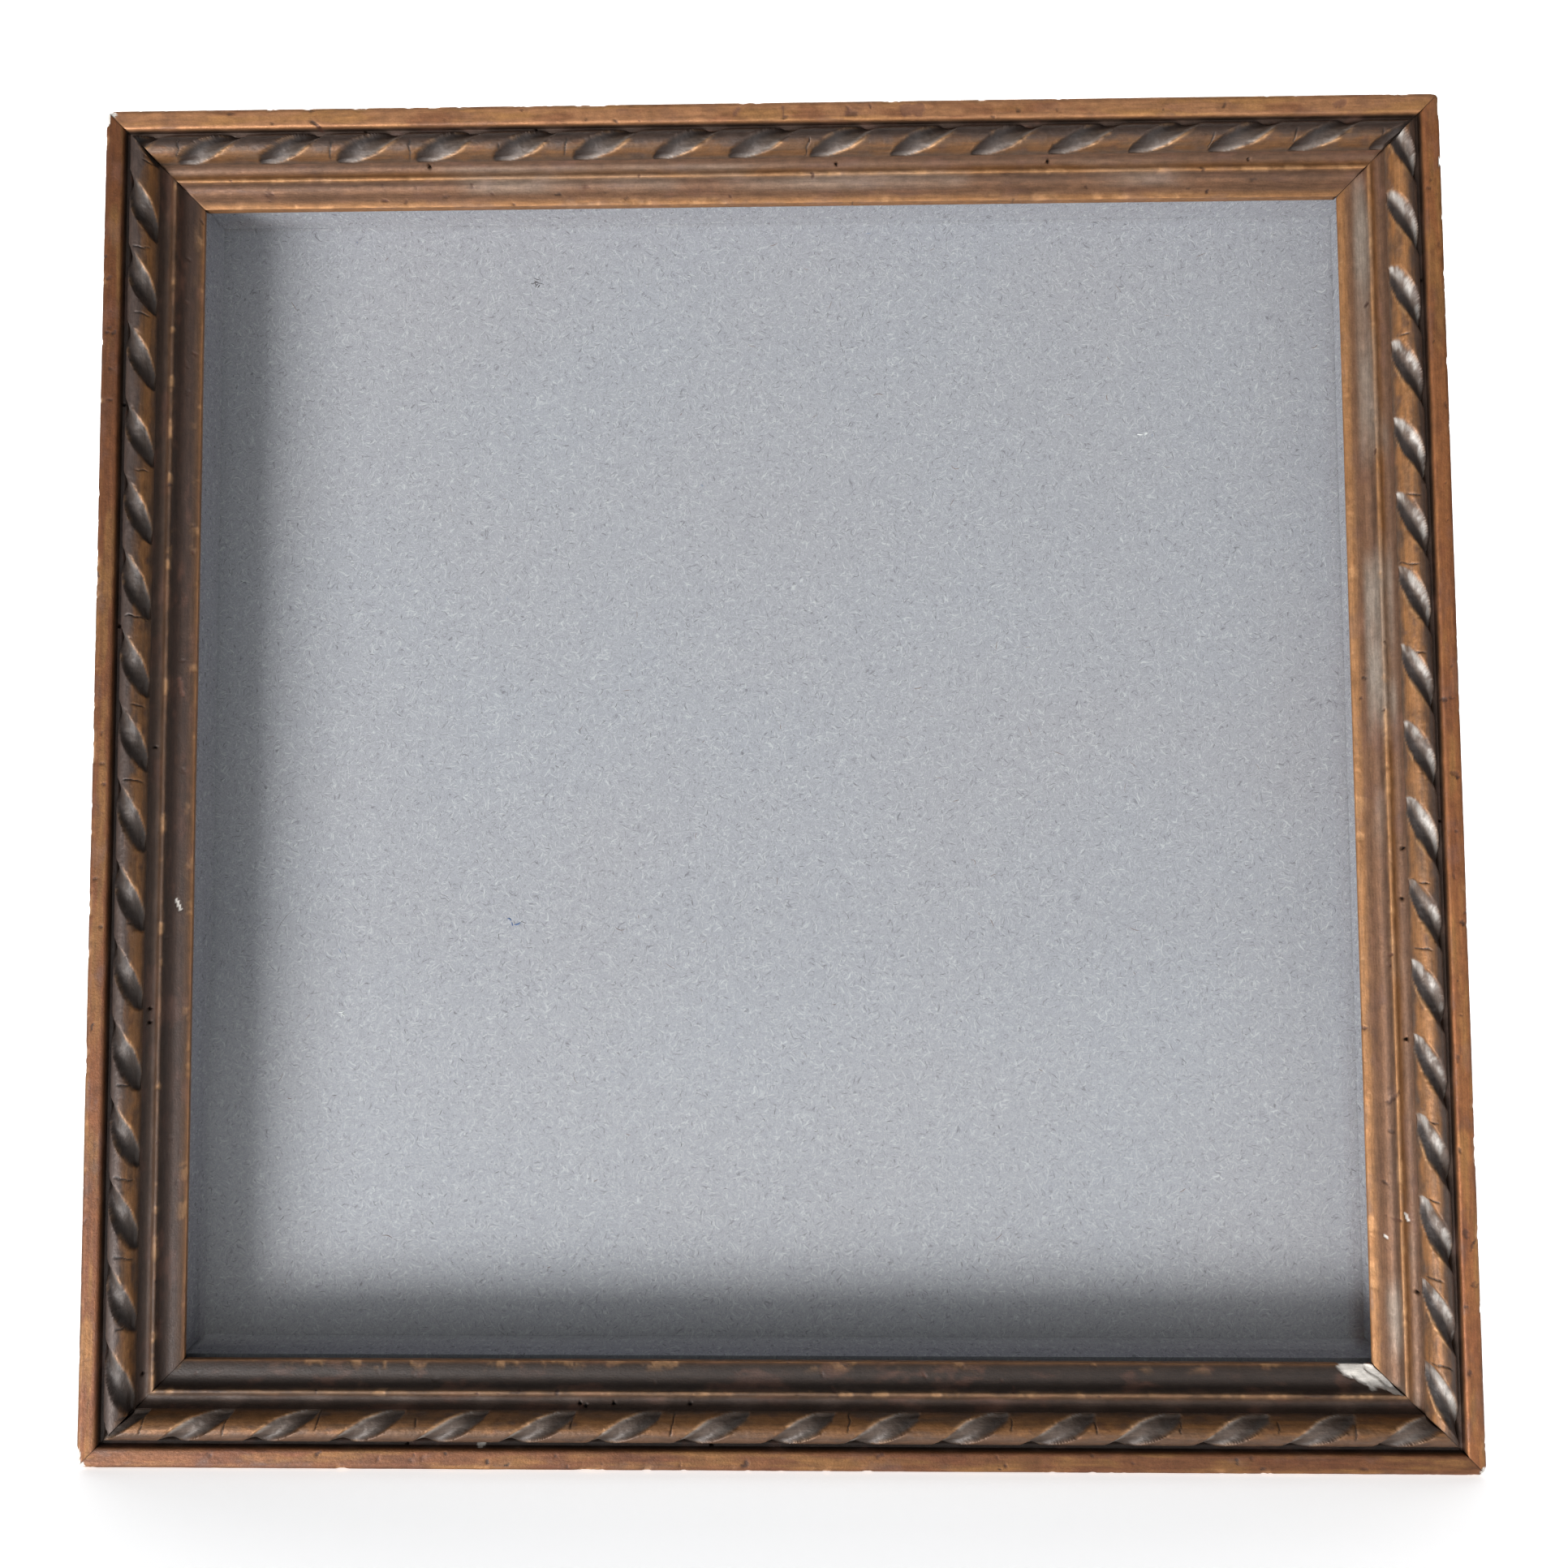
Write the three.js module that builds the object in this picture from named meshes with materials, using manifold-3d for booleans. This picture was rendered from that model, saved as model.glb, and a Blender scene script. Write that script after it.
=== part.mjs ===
// Square gilt shadow box: a mitred rope moulding on a deep batten box, with a glazed display space
// and a lift-out back held by four turn buttons. Millimetres, +Z up, the glazed front faces -Y.
// Sections are drawn as (t, u): t is the depth behind the front of the rope, u the distance in from
// the outer edge. Every side is drawn as the top side and then turned about the frame's centre.
import * as THREE from 'three';
import { mergeVertices } from 'three/addons/utils/BufferGeometryUtils.js';
import Module from 'manifold-3d';

// Driving dimensions
const SIDE = 350; // outer width and height of the square frame
const DEPTH = 39; // front of the rope to the back of the battens
const MITRE_GAP = 0.3; // opening of each mitred joint
const FIT = 0.3; // clearance between fitted pieces

// Moulding section
const LIP_TOP = 1.8; // t of the outer lip
const SEAT = 5.4; // t of the flat that the rope is glued to
const RIDGE = 5.9; // t of the fillet between the two coves
const COVE_FOOT = 9.6; // t of the inner cove's low end
const BEAD_TOP = 8.7; // t of the bead at the sight edge
const RAIL_BACK = 15; // t of the moulding's back, where the glass rests
const SIGHT = 24.3; // u of the sight edge
const UNDERCUT = 2; // how far the edge behind the bead slopes back out of sight

// Rope
const ROPE_CENTRE = 9.6; // u of the rope's centre line
const ROPE_HALF_WIDTH = 3.9;
const SCOOP_DEPTH = 0.34; // share of the rope's radius that a scoop takes away
const SCOOP_LEAN = 5.2; // half the distance a scoop advances along the rope while it crosses it
const STATIONS_PER_TWIST = 5;
const ARC_STEPS = 6;

// Box behind the moulding
const BATTEN_WIDTH = 16;
const GLASS_THICKNESS = 2;
const LINER = { top: 4, right: 0.8, bottom: 7, left: 5.5 }; // thicknesses; the lined space is off centre
const BOARD_FRONT = 33; // t of the display surface
const BOARD_THICKNESS = 2.5;
const COVER_THICKNESS = 3;

// Fasteners
const NAIL = { radius: 0.9, headRadius: 1.7, head: 0.8, length: 28, t: 27, u: 8 };
const BUTTON = { length: 22, width: 8.5, thickness: 1.2, hole: 1.7, u: 10.5, spread: 90, lift: 0.1 };
const SCREW = { shank: 1.3, headRadius: 2.9, head: 1.5, length: 11, slot: 0.7, slotDepth: 0.6 };
const HANGER = { length: 38, width: 8, thickness: 1, u: 5, screwX: 14, knuckle: 3, outer: 2.4, hole: 1.5 };
const RING = { radius: 5.6, wire: 0.9 };
const ROUND = 16; // facets round a screw, nail or hole

const HALF = SIDE / 2;
const QUARTER_TURN = Math.PI / 2;

// The four sides in the order of a clockwise walk seen from the front; pitch and first place the scoops.
const SIDES = [
  { name: 'top', pitch: 20.9, first: -145.8 },
  { name: 'right', pitch: 19.8, first: -159.4 },
  { name: 'bottom', pitch: 21.5, first: -155.6 },
  { name: 'left', pitch: 20.1, first: -152 },
];

const wasm = await Module();
wasm.setup();

const FINISH = {
  gilt: [0x8a5a2b, 0.45, 0.55],
  rope: [0x7a5a38, 0.4, 0.6],
  pine: [0xa87b4c, 0.8, 0],
  greyBoard: [0xa9a8aa, 0.95, 0],
  hardboard: [0x6d4a2f, 0.7, 0],
  glass: [0xe6f0ee, 0.05, 0],
  brass: [0xb08d4a, 0.35, 0.9],
  steel: [0x8b8b88, 0.4, 0.9],
};

function finish(name) {
  const [color, roughness, metalness] = FINISH[name];
  const material = new THREE.MeshStandardMaterial({ color, roughness, metalness });
  if (name === 'glass') Object.assign(material, { transparent: true, opacity: 0.3 });
  return material;
}

// Booleans
function toSolid(geometry) {
  const bare = geometry.clone();
  bare.deleteAttribute('normal');
  bare.deleteAttribute('uv');
  const merged = mergeVertices(bare, 1e-4);
  return new wasm.Manifold(new wasm.Mesh({
    numProp: 3,
    vertProperties: merged.attributes.position.array,
    triVerts: merged.index.array,
  }));
}

function toGeometry(solid) {
  const { vertProperties, triVerts } = solid.getMesh();
  const geometry = new THREE.BufferGeometry();
  geometry.setAttribute('position', new THREE.BufferAttribute(vertProperties, 3));
  geometry.setIndex(new THREE.BufferAttribute(triVerts, 1));
  const flat = geometry.toNonIndexed();
  flat.computeVertexNormals();
  return flat;
}

function cut(geometry, ...tools) {
  return toGeometry(tools.reduce((left, tool) => left.subtract(toSolid(tool)), toSolid(geometry)));
}

// Places in the top side's frame: the origin is the centre of the square, half way through its depth.
const yAt = (t) => t - DEPTH / 2;
const zAt = (u) => HALF - u;

// Extrudes a (y, z) shape along X, centred on x = 0.
function alongX(shape, length, curveSegments = 4) {
  const toX = new THREE.Matrix4().makeBasis(
    new THREE.Vector3(0, 1, 0), new THREE.Vector3(0, 0, 1), new THREE.Vector3(1, 0, 0));
  return new THREE.ExtrudeGeometry(shape, { depth: length, bevelEnabled: false, curveSegments })
    .translate(0, 0, -length / 2)
    .applyMatrix4(toX);
}

// Extrudes an (x, z) shape along Y, from y = front to y = back.
function alongY(shape, front, back, curveSegments = 6) {
  const toY = new THREE.Matrix4().makeBasis(
    new THREE.Vector3(1, 0, 0), new THREE.Vector3(0, 0, 1), new THREE.Vector3(0, -1, 0));
  return new THREE.ExtrudeGeometry(shape, { depth: back - front, bevelEnabled: false, curveSegments })
    .applyMatrix4(toY)
    .translate(0, back, 0);
}

// A box between two depths and two distances in from the edge, centred on x = 0.
function bar(length, t0, t1, u0, u1) {
  return new THREE.BoxGeometry(length, t1 - t0, u1 - u0)
    .translate(0, yAt((t0 + t1) / 2), zAt((u0 + u1) / 2));
}

// Trims a full-length bar to its quarter of the square, with half the joint's gap on each end.
function mitred(geometry) {
  const apex = MITRE_GAP / Math.SQRT2;
  const wedge = new THREE.Shape();
  wedge.moveTo(0, apex);
  wedge.lineTo(SIDE, SIDE + apex);
  wedge.lineTo(-SIDE, SIDE + apex);
  wedge.closePath();
  return toGeometry(toSolid(geometry).intersect(toSolid(alongY(wedge, -DEPTH, DEPTH))));
}

// The moulding's section, from the outer back corner round the front to the inner back corner.
function railShape() {
  const shape = new THREE.Shape();
  const at = (t, u) => [yAt(t), zAt(u)];
  shape.moveTo(...at(RAIL_BACK, 0));
  shape.lineTo(...at(LIP_TOP + 1.1, 0));
  shape.quadraticCurveTo(...at(LIP_TOP, 0.1), ...at(LIP_TOP, 1.4));
  shape.lineTo(...at(LIP_TOP + 0.2, 3.8));
  shape.lineTo(...at(LIP_TOP + 0.7, 4.3));
  shape.lineTo(...at(SEAT, 4.6));
  shape.lineTo(...at(SEAT, ROPE_CENTRE + ROPE_HALF_WIDTH + 0.2));
  shape.quadraticCurveTo(...at(RIDGE + 1.7, 15.4), ...at(RIDGE, 16.5));
  shape.lineTo(...at(RIDGE, 17.3));
  shape.lineTo(...at(RIDGE + 1.2, 17.5));
  shape.quadraticCurveTo(...at(COVE_FOOT - 0.2, 18.4), ...at(COVE_FOOT, SIGHT - 2.9));
  shape.lineTo(...at(BEAD_TOP + 0.3, SIGHT - 2.6));
  shape.quadraticCurveTo(...at(BEAD_TOP - 0.4, SIGHT - 1.4), ...at(BEAD_TOP + 0.8, SIGHT - 0.1));
  shape.lineTo(...at(BEAD_TOP + 1.3, SIGHT));
  shape.lineTo(...at(RAIL_BACK, SIGHT - UNDERCUT));
  shape.closePath();
  return shape;
}

// How deep the scoops cut at a place along the rope (x) and across it (0 at the outer foot, pi at the inner).
function scoopShare(x, angle, side) {
  const turns = (x - side.first - SCOOP_LEAN * Math.cos(angle)) / side.pitch;
  return Math.max(0, Math.cos(2 * Math.PI * turns)) * Math.sin(angle) ** 0.5;
}

// A half-round bar with leaning scoops cut across it at an even pitch.
function ropeGeometry(side) {
  const stations = Math.round((SIDE / side.pitch) * STATIONS_PER_TWIST);
  const ring = ARC_STEPS + 1;
  const positions = [];
  for (let i = 0; i <= stations; i += 1) {
    const x = -HALF + (SIDE * i) / stations;
    for (let j = 0; j <= ARC_STEPS; j += 1) {
      const angle = (Math.PI * j) / ARC_STEPS;
      const left = 1 - SCOOP_DEPTH * scoopShare(x, angle, side);
      const across = ROPE_CENTRE - ROPE_HALF_WIDTH * Math.cos(angle) * (0.3 + 0.7 * left);
      positions.push(x, yAt(SEAT * (1 - Math.sin(angle) * left)), zAt(across));
    }
  }
  const index = [];
  for (let i = 0; i < stations; i += 1) {
    for (let j = 0; j < ring; j += 1) {
      const a = i * ring + j;
      const b = i * ring + ((j + 1) % ring);
      index.push(a, b, a + ring, b, b + ring, a + ring);
    }
  }
  const last = stations * ring;
  for (let j = 1; j < ARC_STEPS; j += 1) {
    index.push(0, j + 1, j);
    index.push(last, last + j, last + j + 1);
  }
  const geometry = new THREE.BufferGeometry();
  geometry.setAttribute('position', new THREE.Float32BufferAttribute(positions, 3));
  geometry.setIndex(index);
  return mitred(geometry);
}

// A rod pointing along +Y from t0 to t1, for shanks and the holes that take them.
function rodY(radius, x, u, t0, t1) {
  return new THREE.CylinderGeometry(radius, radius, t1 - t0, ROUND)
    .translate(x, yAt((t0 + t1) / 2), zAt(u));
}

// A corner nail stands along Z in the top side's frame, driven in from the outer edge near the left end.
const NAIL_X = -HALF + NAIL.u;

function nailGeometry(play) {
  const end = HALF - NAIL.length - play;
  const profile = [
    [0, end],
    [NAIL.radius + play, end + NAIL.radius],
    [NAIL.radius + play, HALF - NAIL.head - play],
    [NAIL.headRadius + play, HALF - NAIL.head - play],
    [NAIL.headRadius + play, HALF + play],
    [0, HALF + play],
  ].map(([r, z]) => new THREE.Vector2(r, z));
  return new THREE.LatheGeometry(profile, ROUND)
    .rotateX(QUARTER_TURN)
    .translate(NAIL_X, yAt(NAIL.t), 0);
}

// A batten takes its own corner nail at its left end and the next side's nail at its right end.
function battenGeometry(screws) {
  const blank = mitred(bar(SIDE, RAIL_BACK, DEPTH, 0, BATTEN_WIDTH));
  const ownNail = nailGeometry(FIT);
  const nextNail = nailGeometry(FIT).rotateY(QUARTER_TURN);
  const holes = screws.map(({ x, u }) =>
    rodY(SCREW.shank + FIT, x, u, DEPTH - SCREW.length - FIT, DEPTH + 1));
  return cut(blank, ownNail, nextNail, ...holes);
}

// A slotted round-head screw along Y whose head's underside is at t = seat.
function screwGeometry(x, u, seat) {
  const { shank, headRadius, head, length, slot, slotDepth } = SCREW;
  const profile = [
    [0, -length],
    [shank, -length + 2 * shank],
    [shank, 0],
    [headRadius, 0],
    [headRadius, head * 0.35],
    [headRadius * 0.72, head * 0.85],
    [0, head],
  ].map(([r, y]) => new THREE.Vector2(r, y));
  const body = new THREE.LatheGeometry(profile, ROUND);
  const groove = new THREE.BoxGeometry(2.5 * headRadius, 2 * slotDepth, slot).translate(0, head, 0);
  return cut(body, groove).translate(x, yAt(seat), zAt(u));
}

// A plate with round ends lying against the back, its length along X and centred on (0, 0) in x and z.
function roundEndedShape(length, width, holeXs, holeRadius) {
  const reach = (length - width) / 2;
  const shape = new THREE.Shape();
  shape.absarc(reach, 0, width / 2, -QUARTER_TURN, QUARTER_TURN, false);
  shape.absarc(-reach, 0, width / 2, QUARTER_TURN, 3 * QUARTER_TURN, false);
  shape.closePath();
  for (const x of holeXs) {
    const hole = new THREE.Path();
    hole.absarc(x, 0, holeRadius, 0, 2 * Math.PI, true);
    shape.holes.push(hole);
  }
  return shape;
}

// The hanger: a strip screwed on at both ends, with an arched knuckle in the middle for the ring.
const RING_T = DEPTH + HANGER.thickness + HANGER.hole + 0.2;

function hangerPlateGeometry() {
  const shape = roundEndedShape(HANGER.length, HANGER.width, [-HANGER.screwX, HANGER.screwX], 1.7);
  const strip = alongY(shape, yAt(DEPTH), yAt(DEPTH + HANGER.thickness)).translate(0, 0, zAt(HANGER.u));
  const arch = new THREE.CylinderGeometry(HANGER.outer, HANGER.outer, HANGER.knuckle, ROUND)
    .rotateZ(QUARTER_TURN)
    .translate(0, yAt(RING_T), zAt(HANGER.u));
  const eye = new THREE.CylinderGeometry(HANGER.hole, HANGER.hole, 2 * HANGER.knuckle, ROUND)
    .rotateZ(QUARTER_TURN)
    .translate(0, yAt(RING_T), zAt(HANGER.u));
  const behind = bar(HANGER.length, 0, DEPTH, -SIDE, SIDE);
  const joined = toSolid(strip).add(toSolid(arch)).subtract(toSolid(eye)).subtract(toSolid(behind));
  return toGeometry(joined);
}

function ringGeometry() {
  return new THREE.TorusGeometry(RING.radius, RING.wire, 8, 28)
    .rotateX(QUARTER_TURN)
    .translate(0, yAt(RING_T), zAt(HANGER.u) - RING.radius);
}

// Assembly
const shadowBox = new THREE.Group();
const square = new THREE.Group(); // centred on the frame's own centre
square.position.z = HALF;
shadowBox.add(square);

function addPiece(parent, name, geometry, look) {
  const mesh = new THREE.Mesh(geometry, finish(look));
  mesh.name = name;
  parent.add(mesh);
  return mesh;
}

const GLASS_BACK = RAIL_BACK + GLASS_THICKNESS;
const INSIDE = SIDE - 2 * (BATTEN_WIDTH + FIT); // width between the battens, less the clearance
const BUTTON_T = DEPTH + BUTTON.lift;
const BUTTON_SCREW_SEAT = BUTTON_T + BUTTON.thickness + BUTTON.lift;

const buttonScrews = [-BUTTON.spread, BUTTON.spread].map((x) => ({ x, u: BUTTON.u }));
const hangerScrews = [-HANGER.screwX, HANGER.screwX].map((x) => ({ x, u: HANGER.u }));
const screwsOn = { top: hangerScrews, right: buttonScrews, bottom: [], left: buttonScrews };

SIDES.forEach((side, k) => {
  const turned = new THREE.Group();
  turned.rotation.y = k * QUARTER_TURN;
  square.add(turned);
  addPiece(turned, `rail_${side.name}`, mitred(alongX(railShape(), SIDE)), 'gilt');
  addPiece(turned, `rope_${side.name}`, ropeGeometry(side), 'rope');
  addPiece(turned, `batten_${side.name}`, battenGeometry(screwsOn[side.name]), 'pine');
  addPiece(turned, `corner_nail_${side.name}`, nailGeometry(0), 'steel');
});

// Liners: the top and bottom ones run from batten to batten and the side ones stand between them
function addLiner(name, width, height, x, z) {
  const liner = new THREE.BoxGeometry(width, BOARD_FRONT - GLASS_BACK, height);
  addPiece(square, name, liner.translate(x, yAt((GLASS_BACK + BOARD_FRONT) / 2), z), 'greyBoard');
}
const sideLinerHeight = INSIDE - LINER.top - LINER.bottom - 2 * FIT;
const sideLinerZ = (LINER.bottom - LINER.top) / 2;
addLiner('liner_top', INSIDE, LINER.top, 0, (INSIDE - LINER.top) / 2);
addLiner('liner_bottom', INSIDE, LINER.bottom, 0, (LINER.bottom - INSIDE) / 2);
addLiner('liner_right', LINER.right, sideLinerHeight, (INSIDE - LINER.right) / 2, sideLinerZ);
addLiner('liner_left', LINER.left, sideLinerHeight, (LINER.left - INSIDE) / 2, sideLinerZ);

// Square sheets held between the battens
function addSheet(name, t0, thickness, look) {
  const sheet = new THREE.BoxGeometry(INSIDE, thickness, INSIDE);
  addPiece(square, name, sheet.translate(0, yAt(t0 + thickness / 2), 0), look);
}
addSheet('glass_pane', RAIL_BACK, GLASS_THICKNESS, 'glass');
addSheet('backing_board', BOARD_FRONT, BOARD_THICKNESS, 'greyBoard');
addSheet('back_cover', BOARD_FRONT + BOARD_THICKNESS, COVER_THICKNESS, 'hardboard');

// Turn buttons stand open: each lies along its batten, and a quarter turn brings an end over the back.
const buttonShape = roundEndedShape(BUTTON.length, BUTTON.width, [0], BUTTON.hole);
for (const side of [1, -1]) {
  for (const level of [1, -1]) {
    const place = `${side > 0 ? 'right' : 'left'}_${level > 0 ? 'upper' : 'lower'}`;
    const x = side * zAt(BUTTON.u);
    const z = level * BUTTON.spread;
    const button = alongY(buttonShape, yAt(BUTTON_T), yAt(BUTTON_T + BUTTON.thickness))
      .rotateY(QUARTER_TURN)
      .translate(x, 0, z);
    addPiece(square, `turn_button_${place}`, button, 'brass');
    addPiece(square, `button_screw_${place}`, screwGeometry(x, HALF - z, BUTTON_SCREW_SEAT), 'steel');
  }
}

addPiece(square, 'hanger_plate', hangerPlateGeometry(), 'brass');
addPiece(square, 'hanger_ring', ringGeometry(), 'brass');
hangerScrews.forEach(({ x, u }) => {
  const name = `hanger_screw_${x > 0 ? 'right' : 'left'}`;
  addPiece(square, name, screwGeometry(x, u, DEPTH + HANGER.thickness + BUTTON.lift), 'steel');
});

export default shadowBox;
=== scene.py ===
"""Looks of the gilt shadow box. The sides are worked out in millimetres in their own frame (x along
a side, t behind the front of the rope, u in from the outer edge) and turn into metres in the row
frame as a mesh is made. Everything else is in the row frame."""

import math

import bpy
import numpy as np
from mathutils import Matrix, Vector


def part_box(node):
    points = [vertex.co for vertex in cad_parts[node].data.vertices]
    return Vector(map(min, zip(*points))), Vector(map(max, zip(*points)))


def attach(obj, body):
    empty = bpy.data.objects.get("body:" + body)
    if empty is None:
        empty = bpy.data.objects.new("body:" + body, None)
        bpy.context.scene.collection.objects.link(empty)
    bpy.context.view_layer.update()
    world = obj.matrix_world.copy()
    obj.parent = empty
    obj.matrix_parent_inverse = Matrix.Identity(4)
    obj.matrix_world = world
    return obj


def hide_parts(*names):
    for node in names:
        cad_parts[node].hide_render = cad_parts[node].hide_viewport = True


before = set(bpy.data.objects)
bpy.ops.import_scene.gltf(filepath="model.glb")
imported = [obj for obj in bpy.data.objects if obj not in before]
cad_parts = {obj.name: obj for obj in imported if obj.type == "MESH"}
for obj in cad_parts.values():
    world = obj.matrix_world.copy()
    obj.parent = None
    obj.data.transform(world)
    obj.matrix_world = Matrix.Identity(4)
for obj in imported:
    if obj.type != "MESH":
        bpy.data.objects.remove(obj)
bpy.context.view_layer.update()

MM = 0.001
SIDE_NAMES = ["top", "right", "bottom", "left"]

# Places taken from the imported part
rail_lo, rail_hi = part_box("rail_top")
batten_lo, batten_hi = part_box("batten_top")
HALF = (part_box("rail_top")[1].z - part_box("rail_bottom")[0].z) / 2 / MM
CENTRE_Z = (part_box("rail_top")[1].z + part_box("rail_bottom")[0].z) / 2
RAIL_BACK = 15.0  # t of the moulding's back, where the glass rests
FRONT_Y = rail_hi.y - RAIL_BACK * MM  # where t is 0
DEPTH = (batten_hi.y - FRONT_Y) / MM
SIGHT = (rail_hi.z - rail_lo.z) / MM
BATTEN = (batten_hi.z - batten_lo.z) / MM
MITRE = 0.05  # how far each side stops short of the mitre line
CORNER_RADIUS = 3.0
RAIL_STATIONS, ROPE_STATIONS, BATTEN_STATIONS = 820, 1250, 320

# Rope: t of its flat back, u of its middle, half its width, depth of a scoop as a share of the
# radius, and how far along the side a scoop leans over a quarter turn
SEAT = 5.4
ROPE_CENTRE = 9.6
ROPE_HALF = 3.9
SCOOP = 0.36
LEAN = 8.7
PITCH = {"top": 20.9, "right": 19.8, "bottom": 21.5, "left": 20.1}
WIDEN = {"top": 0.75, "right": 0.1, "bottom": 0.5, "left": 0.4}  # how far each side's front sits inward
FIRST = {"top": -145.8, "right": -159.4, "bottom": -155.6, "left": -152.0}


# ---------------------------------------------------------------- noise
def lattice(i, j, k, seed):
    h = (i * 374761393 + j * 668265263 + k * 2147483647 + seed * 974634777) & 0xFFFFFFFF
    h = ((h ^ (h >> 13)) * 1274126177) & 0xFFFFFFFF
    h = ((h ^ (h >> 16)) * 2246822519) & 0xFFFFFFFF
    return ((h ^ (h >> 15)) & 0xFFFFFF) / float(0xFFFFFF) * 2 - 1


def noise(x, y, z=0.0, seed=0):
    x, y, z = np.broadcast_arrays(np.asarray(x, float), np.asarray(y, float), np.asarray(z, float))
    xi, yi, zi = (np.floor(a).astype(np.int64) for a in (x, y, z))
    xf, yf, zf = (s * s * (3 - 2 * s) for s in (x - xi, y - yi, z - zi))
    out = 0
    for dx in (0, 1):
        for dy in (0, 1):
            for dz in (0, 1):
                w = (xf if dx else 1 - xf) * (yf if dy else 1 - yf) * (zf if dz else 1 - zf)
                out = out + w * lattice(xi + dx, yi + dy, zi + dz, seed)
    return out


def fbm(x, y, z=0.0, seed=0, octaves=4, gain=0.5):
    total, amp, norm = 0, 1.0, 0.0
    for o in range(octaves):
        f = 2.0**o
        total = total + amp * noise(np.asarray(x) * f, np.asarray(y) * f, np.asarray(z) * f, seed + 31 * o)
        norm += amp
        amp *= gain
    return total / norm


def smooth(a, b, v):
    s = np.clip((v - a) / (b - a), 0, 1)
    return s * s * (3 - 2 * s)


def lerp(a, b, w):
    return a + (b - a) * w


def srgb(r, g, b):
    """A display colour as linear light."""
    c = np.array([r, g, b], float) / 255
    return np.where(c <= 0.04045, c / 12.92, ((c + 0.055) / 1.055) ** 2.4)


# ---------------------------------------------------------------- meshes
def to_row(k, x, t, u):
    """Points of side k, in metres in the row frame."""
    z = HALF - u
    a = k * math.pi / 2
    px = x * math.cos(a) + z * math.sin(a)
    pz = -x * math.sin(a) + z * math.cos(a)
    return np.stack([px * MM, FRONT_Y + t * MM, CENTRE_Z + pz * MM], -1)


def mesh_object(name, points, faces, material, floats=None, colours=None, vectors=None, angle=35):
    mesh = bpy.data.meshes.new(name)
    mesh.from_pydata(points.reshape(-1, 3).tolist(), [], faces)
    for key, values in (floats or {}).items():
        mesh.attributes.new(key, "FLOAT", "POINT").data.foreach_set(
            "value", np.asarray(values, np.float32).ravel()
        )
    for key, values in (colours or {}).items():
        rgba = np.ones((len(mesh.vertices), 4), np.float32)
        rgba[:, :3] = np.clip(np.asarray(values).reshape(-1, 3), 0, 1)
        mesh.attributes.new(key, "FLOAT_COLOR", "POINT").data.foreach_set("color", rgba.ravel())
    for key, values in (vectors or {}).items():
        mesh.attributes.new(key, "FLOAT_VECTOR", "POINT").data.foreach_set(
            "vector", np.asarray(values, np.float32).ravel()
        )
    mesh.materials.append(material)
    mesh.validate()
    mesh.update()
    mesh.shade_smooth()
    mesh.set_sharp_from_angle(angle=math.radians(angle))
    obj = bpy.data.objects.new(name, mesh)
    bpy.context.scene.collection.objects.link(obj)
    return obj


def swept_faces(ns, nv):
    """Quads of a closed ring of nv points carried through ns stations, with a cap on each end."""
    i, j = np.meshgrid(np.arange(ns - 1), np.arange(nv), indexing="ij")
    a = i * nv + j
    b = i * nv + (j + 1) % nv
    faces = np.stack([a, a + nv, b + nv, b], -1).reshape(-1, 4).tolist()
    faces.append(list(range(nv)))
    faces.append(list(range((ns - 1) * nv, ns * nv))[::-1])
    return faces


def section_path(start, steps):
    """Walks lines and curves from start; a step is (end, count) or (end, count, control)."""
    points = [np.array(start, float)]
    for step in steps:
        a, b, n = points[-1], np.array(step[0], float), step[1]
        for i in range(1, n + 1):
            w = i / n
            if len(step) > 2:
                c = np.array(step[2], float)
                points.append((1 - w) ** 2 * a + 2 * w * (1 - w) * c + w * w * b)
            else:
                points.append(a + (b - a) * w)
    return np.array(points[:-1])


def ring_normals(section):
    ahead, behind = np.roll(section, -1, 0), np.roll(section, 1, 0)
    d = ahead - behind
    n = np.stack([-d[:, 1], d[:, 0]], -1)
    return n / np.maximum(np.linalg.norm(n, axis=1, keepdims=True), 1e-9)


def round_corner(x, u, radius):
    """Pulls the sharp outer corners in to a radius."""
    dx, du = np.abs(x) - (HALF - radius), radius - u
    beyond = np.hypot(dx, du)
    outside = (dx > 0) & (du > 0) & (beyond > radius)
    scale = np.where(outside, radius / np.maximum(beyond, 1e-9), 1.0)
    return (
        np.where(outside, np.sign(x) * (HALF - radius + dx * scale), x),
        np.where(outside, radius - du * scale, u),
    )


def stations(section, count, margin):
    """x of each station and ring point, out to the mitres."""
    xi = np.linspace(-1, 1, count)[:, None]
    return xi * (HALF - section[:, 1] - margin)[None, :]


# ---------------------------------------------------------------- shader helpers
def new_material(name):
    material = bpy.data.materials.new(name)
    material.use_nodes = True
    nodes = material.node_tree.nodes
    nodes.clear()
    out = nodes.new("ShaderNodeOutputMaterial")
    bsdf = nodes.new("ShaderNodeBsdfPrincipled")
    material.node_tree.links.new(bsdf.outputs[0], out.inputs[0])
    return material, Graph(material.node_tree), bsdf


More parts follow.
